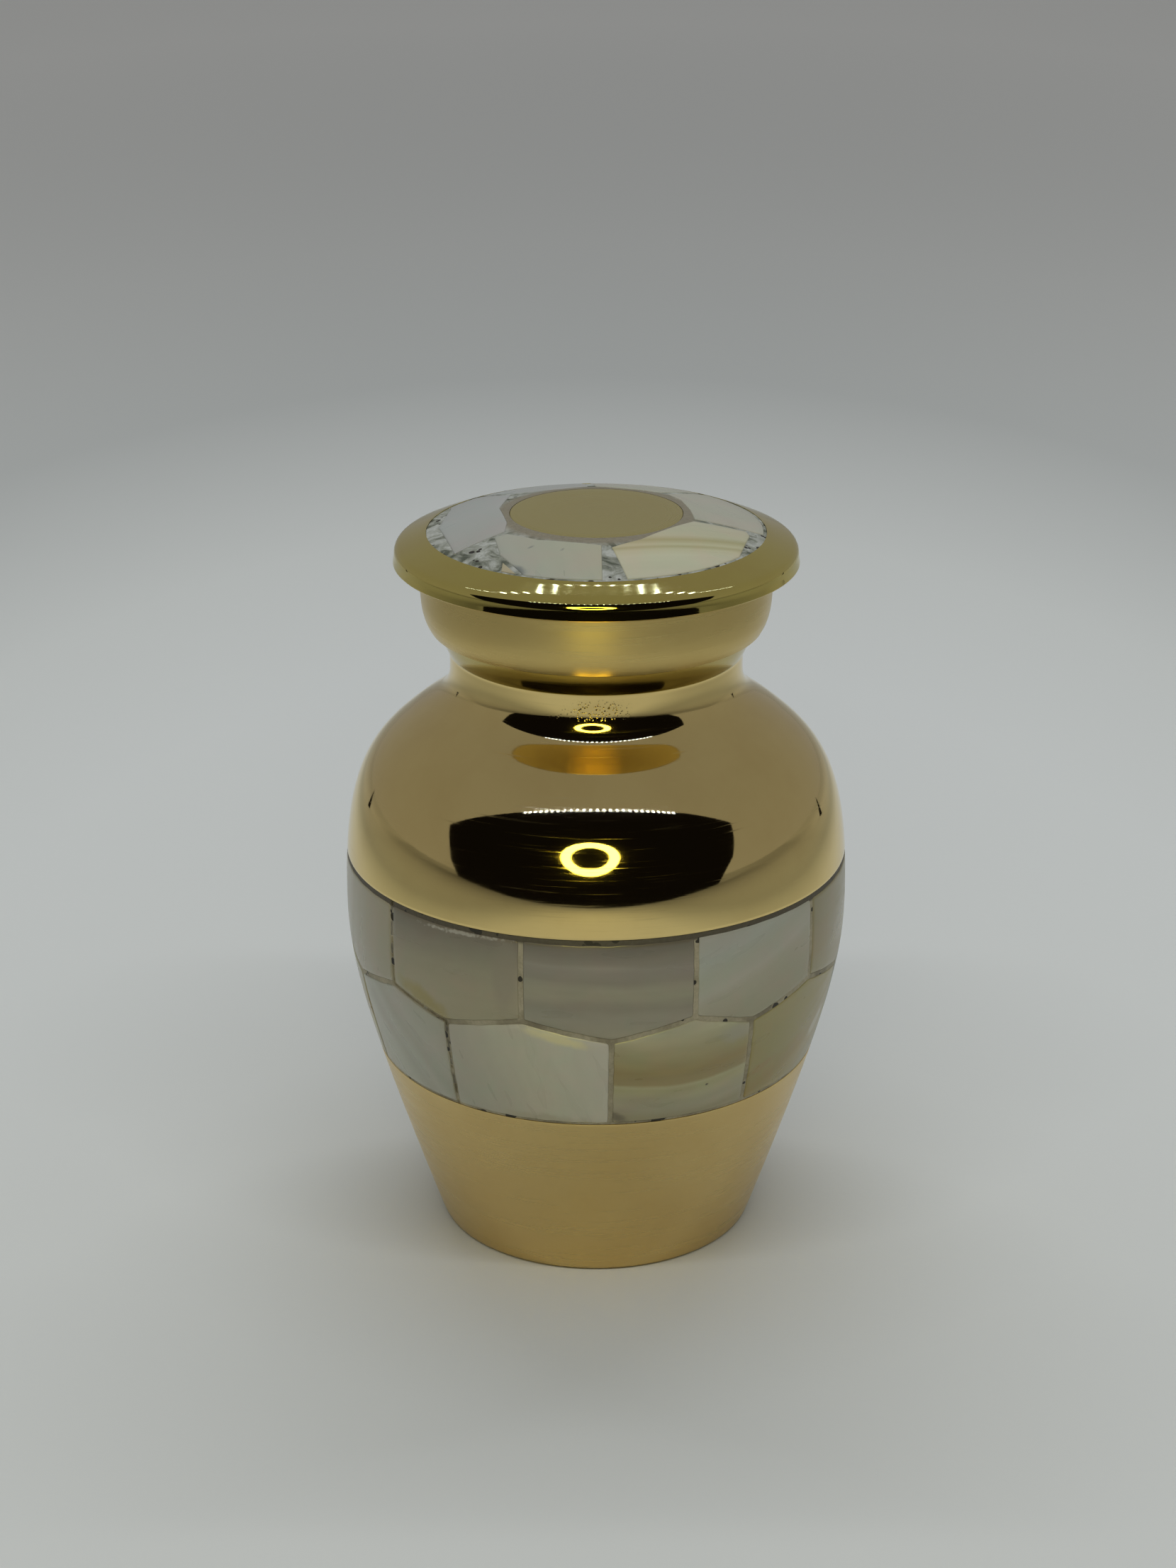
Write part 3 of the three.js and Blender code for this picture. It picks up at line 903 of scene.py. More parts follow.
@dataclass
class VesselSide:
    """The outside of the vessel from the foot to the neck, in millimetres and degrees."""

    foot_radius: float = 16.1
    belly_radius: float = 25.4
    belly_height: float = 36.0
    shoulder_turn_radius: float = 18.8
    shoulder_turn_height: float = 54.5
    neck_radius: float = 14.6
    neck_height: float = 61.2
    foot_lean: float = 19.0
    shoulder_turn_lean: float = -51.4
    foot_pull: float = 0.73
    lower_belly_pull: float = 0.17
    upper_belly_pull: float = 0.675
    shoulder_turn_pull: float = 0.29
    hollow_leans: tuple[Point2, ...] = ((54.5, -51.6), (54.8, -53.4), (55.1, -54.9), (55.4, -55.6),
                                        (55.7, -55.2),
                                        (56.0, -54.2), (56.3, -52.9), (56.6, -50.9), (56.9, -46.5),
                                        (57.2, -41.0),
                                        (57.5, -35.0), (58.0, -25.0), (58.5, -17.0), (59.0, -10.0),
                                        (59.5, -4.5), (60.5, 0.0), (61.2, 0.0))
    fineness: int = 240
    line: np.ndarray = field(init=False)

    def __post_init__(self) -> None:
        """Works out the line once."""
        foot, belly = (self.foot_radius, 0.0), (self.belly_radius, self.belly_height)
        turn = (self.shoulder_turn_radius, self.shoulder_turn_height)
        lean = self.shoulder_turn_lean
        lower = leaning_curve(foot, self.foot_lean, self.foot_pull, belly, 0.0, self.lower_belly_pull,
                              self.fineness)
        shoulder = leaning_curve(belly, 0.0, self.upper_belly_pull, turn, lean, self.shoulder_turn_pull,
                                 self.fineness)
        heights = np.linspace(self.shoulder_turn_height, self.neck_height, self.fineness)
        leans = np.interp(heights, *zip(*self.hollow_leans))
        steps = np.diff(heights) * np.tan(np.radians((leans[1:] + leans[:-1]) / 2))
        hollow = np.column_stack([self.shoulder_turn_radius + np.concatenate([[0.0], np.cumsum(steps)]),
                                  heights])
        hollow[:, 0] += (self.neck_radius - hollow[-1, 0]) * np.linspace(0, 1, self.fineness)
        self.line = np.vstack([lower[:-1], shoulder[:-1], hollow])

    def at(self, heights: np.ndarray, depths: np.ndarray | float = 0.0) -> np.ndarray:
        """Points of the side at given heights, moved into the brass.

        Args:
            heights: The heights on the surface.
            depths: How far in, square to the surface.

        Returns:
            Radius and height rows.
        """
        heights = np.asarray(heights, float)
        slope = np.gradient(self.line[:, 0], self.line[:, 1])
        radius = np.interp(heights, self.line[:, 1], self.line[:, 0])
        lean = np.arctan(np.interp(heights, self.line[:, 1], slope))
        return np.column_stack([radius - depths * np.cos(lean), heights + depths * np.sin(lean)])

    def stretch(self, low: float, high: float, depth: float, spacing: float) -> list[Point2]:
        """Points along the side between two heights at one depth, a spacing apart."""
        steps = max(2, math.ceil(abs(high - low) / spacing))
        return [tuple(row) for row in self.at(np.linspace(low, high, steps + 1), depth)]

    def chart(self, places: np.ndarray, depths: np.ndarray) -> np.ndarray:
        """Turns unrolled places into points in space.

        Args:
            places: Millimetres round the belly and up.
            depths: How far in from the surface each lies.

        Returns:
            Rows of x, y and z.
        """
        row = self.at(places[:, 1], depths)
        turn = places[:, 0] / self.belly_radius
        return np.column_stack([row[:, 0] * np.sin(turn), -row[:, 0] * np.cos(turn), row[:, 1]])


@dataclass
class BrassVessel:
    """The turned brass vessel with its neck and collar, in millimetres."""

    side: VesselSide
    polished: BrassFinish
    satin: BrassFinish
    collar: BrassFinish
    groove: BrassFinish
    wall: float = 2.4
    floor_thickness: float = 2.6
    foot_rounding: float = 0.4
    band_bottom: float = 19.8
    band_top: float = 40.65
    recess_depth: float = 1.4
    lip_rounding: float = 0.12
    foot_rounding_end: float = 1.2
    groove_start: float = 0.3
    collar_edge_radius: float = 16.5
    collar_edge_rise: float = 2.8
    collar_radius: float = 17.5
    collar_height: float = 9.0
    sides: int = 288
    spacing: float = 0.3

    def outline(self) -> list[Point2]:
        """The vessel's section, up the outside and down the inside.

        Returns:
            Radius and height rows.
        """
        side, neck = self.side, self.side.neck_height
        edge = (self.collar_edge_radius, neck + self.collar_edge_rise)
        top = (self.collar_radius, neck + self.collar_height)
        mouth = self.collar_radius - self.wall
        foot = rounded([(0.0, 0.0), (side.foot_radius - 0.05, 0.0),
                        tuple(side.at([self.foot_rounding_end])[0])], {1: self.foot_rounding})
        collar = leaning_curve(edge, 32.0, 0.3, top, 3.0, 0.5, 26)
        undercut = leaning_curve((side.neck_radius + 0.02, neck + 0.2), 29.0, 0.35,
                                 (edge[0] - 0.75, edge[1] - 0.25), 23.5, 0.35, 10)
        inside = side.stretch(self.floor_thickness + self.wall / 2, neck - self.wall / 2, self.wall, 1.0)
        lip = self.lip_rounding
        lower_lip = side.stretch(self.band_bottom - lip, self.band_bottom, 0.0, lip)[0]
        return [
            *foot[:-1],
            *side.stretch(self.foot_rounding_end, self.band_bottom - lip, 0.0, self.spacing),
            tuple(side.at([self.band_bottom - lip * 0.3], [lip * 0.25])[0]),
            tuple(side.at([self.band_bottom], [lip])[0]),
            *side.stretch(self.band_bottom, self.band_top, self.recess_depth, 1.0),
            tuple(side.at([self.band_top], [lip])[0]),
            tuple(side.at([self.band_top + lip * 0.3], [lip * 0.25])[0]),
            *side.stretch(self.band_top + lip, neck, 0.0, self.spacing * 0.6),
            *[tuple(row) for row in undercut],
            (edge[0] - 0.12, edge[1] - 0.06),
            *[tuple(row) for row in collar[:-1]],
            *rounded([tuple(collar[-2]), top, (mouth, top[1])], {1: 0.2})[1:-1],
            (mouth, top[1]),
            (mouth, edge[1]),
            (side.neck_radius - self.wall, neck),
            *inside[::-1],
            (inside[0][0] - self.wall / 2, self.floor_thickness),
            (0.0, self.floor_thickness),
        ]

    def build(self) -> bpy.types.Object:
        """Turns the vessel and dresses its stretches.

        Returns:
            The vessel.
        """
        made = turned("brass_vessel", self.outline(), self.sides, 28.0)
        for finish in (self.polished, self.satin, self.collar, self.groove):
            made.data.materials.append(finish.make())
        seam = (self.side.neck_height + self.collar_edge_rise) * MM
        for face in made.data.polygons:
            height = face.center.z
            if height < self.band_bottom * MM:
                zone = Zone.SATIN
            elif height > seam:
                zone = Zone.COLLAR
            elif height > (self.side.neck_height + self.groove_start) * MM:
                zone = Zone.GROOVE
            else:
                zone = Zone.POLISHED
            face.material_index = zone.value
        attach(made, "root")
        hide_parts("urn_body")
        return made


@dataclass
class LidDome:
    """The lid's upper surface between its rim and its disc, in millimetres."""

    inlay_radius: float = 16.7
    inlay_height: float = 73.45
    disc_radius: float = 8.5
    disc_rise: float = 1.85
    bulge: float = 0.15

    def height_at(self, radius: np.ndarray) -> np.ndarray:
        """Heights of the dome at given radii, carried on level past its ends.

        Args:
            radius: The radii.

        Returns:
            A height for each.
        """
        start = np.array([self.inlay_radius, self.inlay_height])
        end = np.array([self.disc_radius, self.inlay_height + self.disc_rise])
        handle = (start + end) / 2 + np.array([self.bulge, 2 * self.bulge])
        t = np.linspace(0, 1, 60)[:, None]
        line = (1 - t) ** 2 * start + 2 * (1 - t) * t * handle + t ** 2 * end
        return np.interp(radius, line[::-1, 0], line[::-1, 1])

    def chart(self, places: np.ndarray, depths: np.ndarray) -> np.ndarray:
        """Puts places of the plan on the dome, moved down by their depths."""
        radius = np.hypot(places[:, 0], places[:, 1])
        return np.column_stack([places[:, 0], places[:, 1], self.height_at(radius) - depths])


@dataclass
class BrassLid:
    """The turned brass lid, in millimetres."""

    dome: LidDome
    polished: BrassFinish
    satin: BrassFinish
    underside_finish: BrassFinish
    underside: float = 70.5
    flange_radius: float = 20.0
    flange_thickness: float = 1.65
    flange_taper: float = 0.16
    crease_rounding: float = 0.58
    recess_depth: float = 1.4
    wall: float = 1.6
    spigot_radius: float = 14.8
    spigot_end: float = 65.5
    underside_start: float = 15.0
    sides: int = 288

    def bevel(self) -> list[Point2]:
        """The polished bevel, full in the middle and turned down at the crease.

        Returns:
            Radius and height rows from the flange's edge up to the inlay.
        """
        crease = (self.flange_radius - self.flange_taper, self.underside + self.flange_thickness)
        edge = (self.dome.inlay_radius, self.dome.inlay_height)
        corners = [
            (self.flange_radius, self.underside + 0.12),
            (self.flange_radius - 0.1, self.underside + 0.8),
            crease,
            (edge[0] + 2.25, edge[1] - 0.877),
            (edge[0] + 0.45, edge[1] - 0.15),
            edge,
        ]
        return rounded(corners, {1: 0.25, 2: self.crease_rounding, 3: 0.4, 4: 0.3}, 16)

    def outline(self) -> list[Point2]:
        """The lid's section, up the outside and down into the recess and the disc.

        Returns:
            Radius and height rows.
        """
        dome = self.dome
        disc_top = dome.inlay_height + dome.disc_rise
        ceiling = disc_top - self.recess_depth - self.wall
        hollow = self.spigot_radius - self.wall
        rim = np.linspace(dome.inlay_radius, dome.disc_radius, 12)
        recess = [(float(r), float(z)) for r, z in zip(rim, dome.height_at(rim) - self.recess_depth)]
        low = dome.inlay_height - self.recess_depth - self.wall / 2
        disc = [(radius, disc_top - 0.05 * (radius / dome.disc_radius) ** 4) for radius in (8.0, 7.4, 6.4,
                                                                                            4.8, 2.4, 0.8)]
        return [
            (0.0, ceiling),
            (dome.disc_radius, ceiling),
            (hollow, min(low, ceiling)),
            (hollow, self.spigot_end),
            (self.spigot_radius, self.spigot_end),
            (self.spigot_radius, self.underside),
            (self.flange_radius - 0.12, self.underside),
            *self.bevel(),
            *recess,
            (dome.disc_radius, disc_top - 0.14),
            (dome.disc_radius - 0.06, disc_top - 0.08),
            *disc,
            (0.0, disc_top),
        ]

    def build(self) -> bpy.types.Object:
        """Turns the lid and dresses its disc and its polished flange.

        Returns:
            The lid.
        """
        made = turned("brass_lid", self.outline(), self.sides, 28.0)
        for finish in (self.polished, self.satin, self.underside_finish):
            made.data.materials.append(finish.make())
        for face in made.data.polygons:
            radius = math.hypot(face.center.x, face.center.y)
            on_disc = radius < self.dome.disc_radius * MM and face.normal.z > 0.5
            under_flange = radius > self.underside_start * MM and face.normal.z < -0.5
            zone = Zone.SATIN if on_disc else Zone.COLLAR if under_flange else Zone.POLISHED
            face.material_index = zone.value
        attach(made, "root")
        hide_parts("lid")
        return made


def dressed_tile(tile: bpy.types.Object, node: str, finish: NacreFinish) -> bpy.types.Object:
    """Gives a tile its mother-of-pearl and ties it to the CAD node that it stands for.

    Args:
        tile: The tile.
        node: The CAD node.
        finish: Its mother-of-pearl, made once for all the tiles that share it.

    Returns:
        The same tile.
    """
    tile.data.materials.append(bpy.data.materials.get(finish.name) or finish.make())
    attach(tile, "root")
    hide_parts(node)
    return tile


@dataclass
class ShoulderInlay:
    """Two rows of mother-of-pearl tiles round the shoulder and their resin, in millimetres and degrees."""

    side: VesselSide
    finishes: dict[str, NacreFinish]
    resin: ResinFinish
    band_bottom: float = 19.8
    band_top: float = 40.65
    zigzag_height: float = 30.8
    zigzag_depth: float = 1.85
    joint_width: float = 0.5
    top_joint: float = 0.5
    bottom_joint: float = 0.25
    tile_thickness: float = 0.8
    resin_sink: float = 0.07
    resin_back: float = 1.3
    tiles_per_row: int = 10
    upper_first_turn: float = -52.0
    upper_shifts: tuple[float, ...] = (0, -0.6, 2.1, 0.3, -1.2, 1.4, 0, 1, -1.5, 0.8)
    lower_first_turn: float = -34.0
    lower_shifts: tuple[float, ...] = (-1.9, 1.3, -0.6, 1.5, -1, 0.6, 2, -0.8, 1.1, -0.4)
    lower_slants: tuple[float, ...] = (-1.2, 0.1, 2.2, 0, 1, -0.6, 0.8, -1.2, 0.5, 1)
    rubbed_below: float = 0.012
    edge_round: float = 0.14
    mesh_step: float = 0.45
    cut_margin: float = 0.02

    def upper_joint(self, index: int) -> float:
        """Turn of an upright joint of the upper row."""
        return self.upper_first_turn + index * 360 / self.tiles_per_row + self.upper_shifts[index % 10]

    def lower_joint(self, index: int) -> float:
        """Turn of a joint of the lower row at its upper end."""
        return self.lower_first_turn + index * 360 / self.tiles_per_row + self.lower_shifts[index % 10]

    def unrolled(self, turn: float, height: float) -> Point2:
        """A place on the unrolled side."""
        return (math.radians(turn) * self.side.belly_radius, height)

    def tile_outlines(self) -> dict[str, list[Point2]]:
        """Outlines of all the tiles on the unrolled side, with the joints taken off.

        Returns:
            Outlines by the name of the CAD node that each stands for.
        """
        high = self.zigzag_height + self.zigzag_depth / 2
        low = self.zigzag_height - self.zigzag_depth / 2
        half = self.joint_width / 2
        top = self.band_top - self.top_joint + half
        bottom = self.band_bottom + self.bottom_joint - half
        made = {}
        for index in range(self.tiles_per_row):
            here, after = self.upper_joint(index), self.upper_joint(index + 1)
            apex = self.lower_joint(index)
            upper = [(here, top), (here, high), (apex, low), (after, high), (after, top)]
            made[f"upper_tile_{index + 1}"] = upper
            foot_here = apex + self.lower_slants[index % 10]
            foot_after = self.lower_joint(index + 1) + self.lower_slants[(index + 1) % 10]
            lower = [(apex, low), (foot_here, bottom), (foot_after, bottom),
                     (self.lower_joint(index + 1), low),
                     (after, high)]
            made[f"lower_tile_{index + 1}"] = lower
        return {name: inset([self.unrolled(*corner) for corner in corners], half) for name,
                corners in made.items()}

    def worn(self, outline: Sequence[Point2], seed: float) -> list[Point2]:
        """Gives sawn edges a slight hand-made waver and nibbled corners.

        Args:
            outline: The tile's straight outline.
            seed: Sets where the wavers fall.

        Returns:
            The wavering outline.
        """
        soft = rounded(outline, {k: 0.22 + 0.1 * math.sin(seed + 2.1 * k) for k in range(len(outline))}, 3)
        dense = np.array(densify(soft, 0.45))
        shift = 0.028 * np.sin(dense[:, 0] * 2.1 + seed) * np.cos(dense[:, 1] * 2.7 + seed * 1.7)
        centre = dense.mean(0)
        outward = dense - centre
        outward /= np.linalg.norm(outward, axis=1)[:, None]
        return [tuple(row) for row in dense + outward * shift[:, None]]

    def seam(self) -> list[Point2]:
        """The joint line where the unrolled bed is cut open.

        Returns:
            Places from the lower edge to the upper.
        """
        high = self.zigzag_height + self.zigzag_depth / 2
        low = self.zigzag_height - self.zigzag_depth / 2
        lower = self.lower_joint(0)
        corners = [(lower + self.lower_slants[0], self.band_bottom + self.cut_margin), (lower, low),
                   (self.upper_joint(0), high),
                   (self.upper_joint(0), self.band_top - self.cut_margin)]
        return densify([self.unrolled(*corner) for corner in corners], 0.4, closed=False)

    def build(self) -> list[bpy.types.Object]:
        """Builds and dresses the tiles and the bed.

        Returns:
            The objects.
        """
        outlines = {name: self.worn(outline, 1.3 * k) for k,
                    (name, outline) in enumerate(self.tile_outlines().items())}
        pieces = []
        for name, outline in outlines.items():
            tile = inlaid_piece(f"nacre_{name}", outline, self.side.chart, self.tile_thickness,
                                self.edge_round,
                                self.mesh_step, self.rubbed_below)
            pieces.append(dressed_tile(tile, name, self.finishes[name]))
        pieces.append(self.bed(list(outlines.values())))
        return pieces

    def bed(self, pockets: Sequence[Sequence[Point2]]) -> bpy.types.Object:
        """The resin round the tiles.

        Args:
            pockets: The tiles' outlines.

        Returns:
            The bed.
        """
        round_mm = 2 * math.pi * self.side.belly_radius
        left = self.seam()
        right = [(x + round_mm, y) for x, y in left]
        top = densify([left[-1], right[-1]], self.mesh_step, closed=False)[1:-1]
        bottom = densify([left[0], right[0]], self.mesh_step, closed=False)[1:-1]
        loop = [left[0], *bottom, right[0], *right[1:], *top[::-1], *left[::-1][:-1]]
        moved = []
        for pocket in pockets:
            centre = np.array(pocket).mean(0)
            line_x = np.interp(centre[1], [p[1] for p in left], [p[0] for p in left])
            shift = round_mm if centre[0] < line_x else 0.0
            moved.append([(x + shift, y) for x, y in pocket])
        made = inlay_bed("band_resin_bed", [loop], moved, self.side.chart, self.resin_sink,
                         self.tile_thickness + 0.1, self.resin_back)
        made.data.materials.append(self.resin.make())
        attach(made, "root")
        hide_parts("band_resin")
        return made


@dataclass
class LidInlay:
    """The ring of mother-of-pearl tiles on the lid and its resin, in millimetres and degrees."""

    dome: LidDome
    finishes: dict[str, NacreFinish]
    resin: ResinFinish
    rim_joint: float = 0.3
    joint_inset: float = 0.125
    tile_thickness: float = 0.8
    resin_sink: float = 0.07
    resin_back: float = 1.3
    past_rim: float = 1.4
    edge_round: float = 0.12
    chip_edge_round: float = 0.05
    chip_inset: float = 0.04
    rubbed_below: float = 0.01
    mesh_step: float = 0.45
    ring_steps: int = 220

    def outlines(self) -> dict[str, list[Point2]]:
        """Outlines of the tiles and the chip in plan.

        Returns:
            Outlines by the name of the CAD node that each stands for.
        """
        far = self.past_rim
        corners = {
            "lid_tile_1": [(-134, .39), (-103, .14), (-70, .07), (-57, .23), (-57.5, .94), (-88, .86),
                           (-112, .9), (-133, far)],
            "lid_tile_2": [(-55, .24), (-34, .18), (-17, .13), (3.4, .19), (2, far), (-24, far),
                           (-24.5, .99), (-41, .69),
                           (-57, .41)],
            "lid_tile_3": [(7, .25), (26, .11), (64, .05), (76, .14), (81.5, .77), (77.5, .84), (57, .97),
                           (50, far),
                           (10.5, far)],
            "lid_tile_4": [(78.5, .14), (97, .08), (121, .14), (137, .2), (138, far), (88, far),
                           (82.5, .9)],
            "lid_tile_5": [(139.5, .2), (160, .09), (181, .17), (183, far), (140, far)],
            "lid_tile_6": [(184, .17), (203, .1), (224, .36), (225, far), (185.5, far)],
            "lid_chip": [(-36.5, .79), (-26, 1.0), (-33, .98)],
        }
        limit = self.dome.inlay_radius - self.rim_joint
        made = {}
        for name, places in corners.items():
            plan = [self.plan(turn, share) for turn, share in places]
            drawn_in = inset(plan, self.chip_inset if name == "lid_chip" else self.joint_inset)
            made[name] = clipped_to_circle(drawn_in, limit, 0.4)
        return made

    def plan(self, turn: float, share: float) -> Point2:
        """A place in plan from a turn and a share of the way from the disc to the rim."""
        radius = self.dome.disc_radius + (self.dome.inlay_radius - self.dome.disc_radius) * share
        return (radius * math.sin(math.radians(turn)), -radius * math.cos(math.radians(turn)))

    def lumps(self, places: np.ndarray) -> np.ndarray:
        """Unevenness of the filled stretch on the left, which was patched with crushed shell.

        Args:
            places: Rows of x and y in plan.

        Returns:
            Extra depths.
        """
        x, y = places[:, 0], places[:, 1]
        turn = np.degrees(np.arctan2(x, -y))
        wide = np.clip(1 - np.abs(turn + 78) / 42, 0, 1) * np.clip((np.hypot(x, y) - 14.6) / 0.8, 0, 1)
        return wide * 0.05 * (1 + np.sin(3.1 * x + 1.7 * y) * np.cos(4.3 * y - 2.2 * x))

    def build(self) -> list[bpy.types.Object]:
        """Builds and dresses the tiles, the chip and the bed.

        Returns:
            The objects.
        """
        outlines = {name: densify(outline, self.mesh_step) for name, outline in self.outlines().items()}
        pieces = []
        for name, outline in outlines.items():
            tile = inlaid_piece(f"nacre_{name}", outline, self.dome.chart, self.tile_thickness,
                                self.chip_edge_round if name == "lid_chip" else self.edge_round,
                                self.mesh_step,
                                self.rubbed_below)
            pieces.append(dressed_tile(tile, name, self.finishes[name]))
        steps = self.ring_steps
        rings = []
        for radius in (self.dome.inlay_radius - 0.02, self.dome.disc_radius + 0.02):
            rings.append([(radius * math.cos(2 * math.pi * k / steps),
                           radius * math.sin(2 * math.pi * k / steps))
                          for k in range(steps)])
        extra = [place for place in grid_points(rings[0], 0.5)
                 if math.hypot(*place) > self.dome.disc_radius + 0.15]
        bed = inlay_bed("lid_resin_bed", rings, list(outlines.values()), self.dome.chart, self.resin_sink,
                        self.tile_thickness + 0.1, self.resin_back, extra, self.lumps)
        bed.data.materials.append(self.resin.make())
        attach(bed, "root")
        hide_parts("lid_resin")
        pieces.append(bed)
        return pieces


# Tones of the sheet by distance from the urn, with painted shade close round the urn and a painted dimming
# some way off, and of the tent's walls from floor to roof
FLOOR_PAINTED_SHADE_STOPS = [(0.0, linear("#f3f8f8", 0.78)), (0.04, linear("#f3f8f8", 0.83)),
               (0.08, linear("#f3f8f8", 0.88)),
               (0.18, linear("#f3f8f8", 0.94)), (0.25, linear("#f3f8f7", 0.93)),
               (0.36, linear("#f3f8f7", 0.77)),
               (0.5, linear("#f6f9f7", 0.86)), (0.9, linear("#fcfdfa"))]
TENT_STOPS = [(0.0, grey(0.25)), (0.5, grey(0.27)), (0.75, grey(0.26)), (1.0, grey(0.25))]

# The outline of the tent's dark opening, its upright front and then its slope under the roof, in millimetres
OPENING_CORNERS = ((-797, -400, 0), (571, -400, 0), (820, -400, 148), (940, -400, 300), (-1190, -400, 300),
                   (-1000, -400, 106), (650, -215, 418), (277, -181, 420), (0, -183, 420),
                   (-240, -181, 420),
                   (-570, -190, 420), (-850, -205, 418))
OPENING_FACES = ((0, 1, 2, 3, 4, 5), (4, 3, 6, 7, 8, 9, 10, 11))
# Where the tent's far corners gape, and the gaps' half width, lower edge and upper point, in millimetres
CORNER_GAPS = ((-310, 250), (325, 222))
GAP_SIZE = (16, 0.5, 52)


@dataclass
class Studio:
    """A plain pale floor, a soft light tent and the camera, in metres and degrees."""

    floor_radius: float = 3.0
    lamps: int = 26
    lamp_spacing: float = 0.0169
    lamp_height: float = 0.41
    lamp_reach: float = 0.18
    lamp_width: float = 0.0015
    lamp_drop: float = 0.0062
    lamp_aside: float = 0.011
    ring_place: tuple[float, float, float] = (-0.0165, -0.335, 0.174)
    ring_aim: tuple[float, float, float] = (0.0, -0.02, 0.047)
    ring_inner: float = 0.052
    ring_outer: float = 0.08
    lens: float = 72.573
    camera_place: tuple[float, float, float] = (-0.00082, -0.2978, 0.1626)
    camera_pitch: float = 21.26

    def emission(self, name: str, colour: Colour, strength: float) -> bpy.types.Material:
        """Makes a material that only gives light.

        Args:
            name: The material's name.
            colour: The light's linear colour.
            strength: How bright it is.

        Returns:
            The material.
        """
        material = bpy.data.materials.new(name)
        material.use_nodes = True
        tree = material.node_tree
        tree.nodes.clear()
        glow = add_node(tree, "Emission", {"Color": colour, "Strength": strength})
        add_node(tree, "OutputMaterial", {"Surface": glow.outputs["Emission"]})
        return material

    def floor(self) -> None:
        """The pale sheet the urn stands on, with painted shade close round the urn and out to its sides."""
        count, rings = 96, [0.0, 0.03, 0.06, 0.1, 0.2, 0.4, 0.8, 1.6, self.floor_radius]
        vertices, faces = [(0.0, 0.0, 0.0)], []
        for radius in (ring / MM for ring in rings[1:]):
            vertices += [(radius * math.sin(2 * math.pi * k / count),
                          -radius * math.cos(2 * math.pi * k / count), 0.0)
                         for k in range(count)]
        for k in range(count):
            faces.append([0, 1 + k, 1 + (k + 1) % count])
            for ring in range(len(rings) - 2):
                low = 1 + ring * count
                faces.append([low + k, low + count + k, low + count + (k + 1) % count,
                              low + (k + 1) % count])
        made = new_object("studio_floor", np.array(vertices), faces)
        material, tree, shader = new_material("matt_paper_sheet_painted_shade")
        place = add_node(tree, "TexCoord").outputs["Object"]
        squeezed = add_node(tree, "Mapping", {"Vector": place, "Scale": (2.0, 1.0, 1.0)}).outputs["Vector"]
        distance = add_node(tree, "VectorMath", {0: squeezed}, operation="LENGTH").outputs["Value"]
        share = add_node(tree, "MapRange",
                         {"Value": distance, "From Min": 0.0, "From Max": 1.0}).outputs["Result"]
        # The ramp's tones are painted shade: darker close round the urn and in a ring some way off
        tone = fill_ramp(add_node(tree, "ValToRGB", {"Fac": share}), FLOOR_PAINTED_SHADE_STOPS).outputs["Color"]
        sides = add_node(tree, "SeparateXYZ", {"Vector": place})
        aside = add_node(tree, "Math", {0: sides.outputs["X"]}, operation="ABSOLUTE").outputs["Value"]
        # Painted shade out to the sides, beside and in front of the urn, fading out behind it
        shade = add_node(tree, "MapRange", {
            "Value": aside, "From Min": 0.1, "From Max": 0.19, "To Min": 0.0,
            "To Max": 0.28}).outputs["Result"]
        behind = add_node(tree, "MapRange", {
            "Value": sides.outputs["Y"], "From Min": 0.12, "From Max": 0.3, "To Min": 1.0,
            "To Max": 0.0}).outputs["Result"]
        painted_side_shade = add_node(tree, "Math", {0: shade, 1: behind}, operation="MULTIPLY").outputs["Value"]
        left = add_node(tree, "Math", {0: 1.0, 1: painted_side_shade}, operation="SUBTRACT").outputs["Value"]
        tone = add_node(tree, "VectorMath", {0: tone, "Scale": left}, operation="SCALE").outputs["Vector"]
        fibre = add_node(tree, "TexNoise", {"Vector": place, "Scale": 700.0, "Detail": 3.0}).outputs["Fac"]
        tree.links.new(tone, shader.inputs["Base Color"])
        shader.inputs["Roughness"].default_value = 0.9
        shader.inputs["Specular IOR Level"].default_value = 0.1
        bump = add_node(tree, "Bump",
                        {"Height": fibre, "Strength": 0.3, "Distance": 0.1 * MM}).outputs["Normal"]
        tree.links.new(bump, shader.inputs["Normal"])
        made.data.materials.append(material)

    def hide_from_camera(self, made: bpy.types.Object, mirrors_only: bool = False) -> None:
        """Keeps a studio fitting out of the picture.

        Args:
            made: The fitting.
            mirrors_only: Whether it shows in mirror images alone, and neither lights nor shades anything.
        """
        made.visible_camera = False
        if mirrors_only:
            made.visible_diffuse = False
            made.visible_shadow = False
            made.visible_transmission = False

    def hang_light(self, name: str, kind: str, place: Vector, aim: Vector | None = None) -> bpy.types.Light:
        """Hangs a lamp that lights the urn without showing in the brass.

        Args:
            name: The lamp's name.
            kind: Blender's name for the kind of lamp.
            place: Where it hangs, in metres.
            aim: The way it shines, or None for straight down.

        Returns:
            The lamp's data.
        """
        light = bpy.data.lights.new(name, kind)
        holder = bpy.data.objects.new(name, light)
        holder.location = place
        if aim is not None:
            holder.rotation_euler = aim.to_track_quat("-Z", "Y").to_euler()
        holder.visible_glossy = False
        bpy.context.scene.collection.objects.link(holder)
        return light

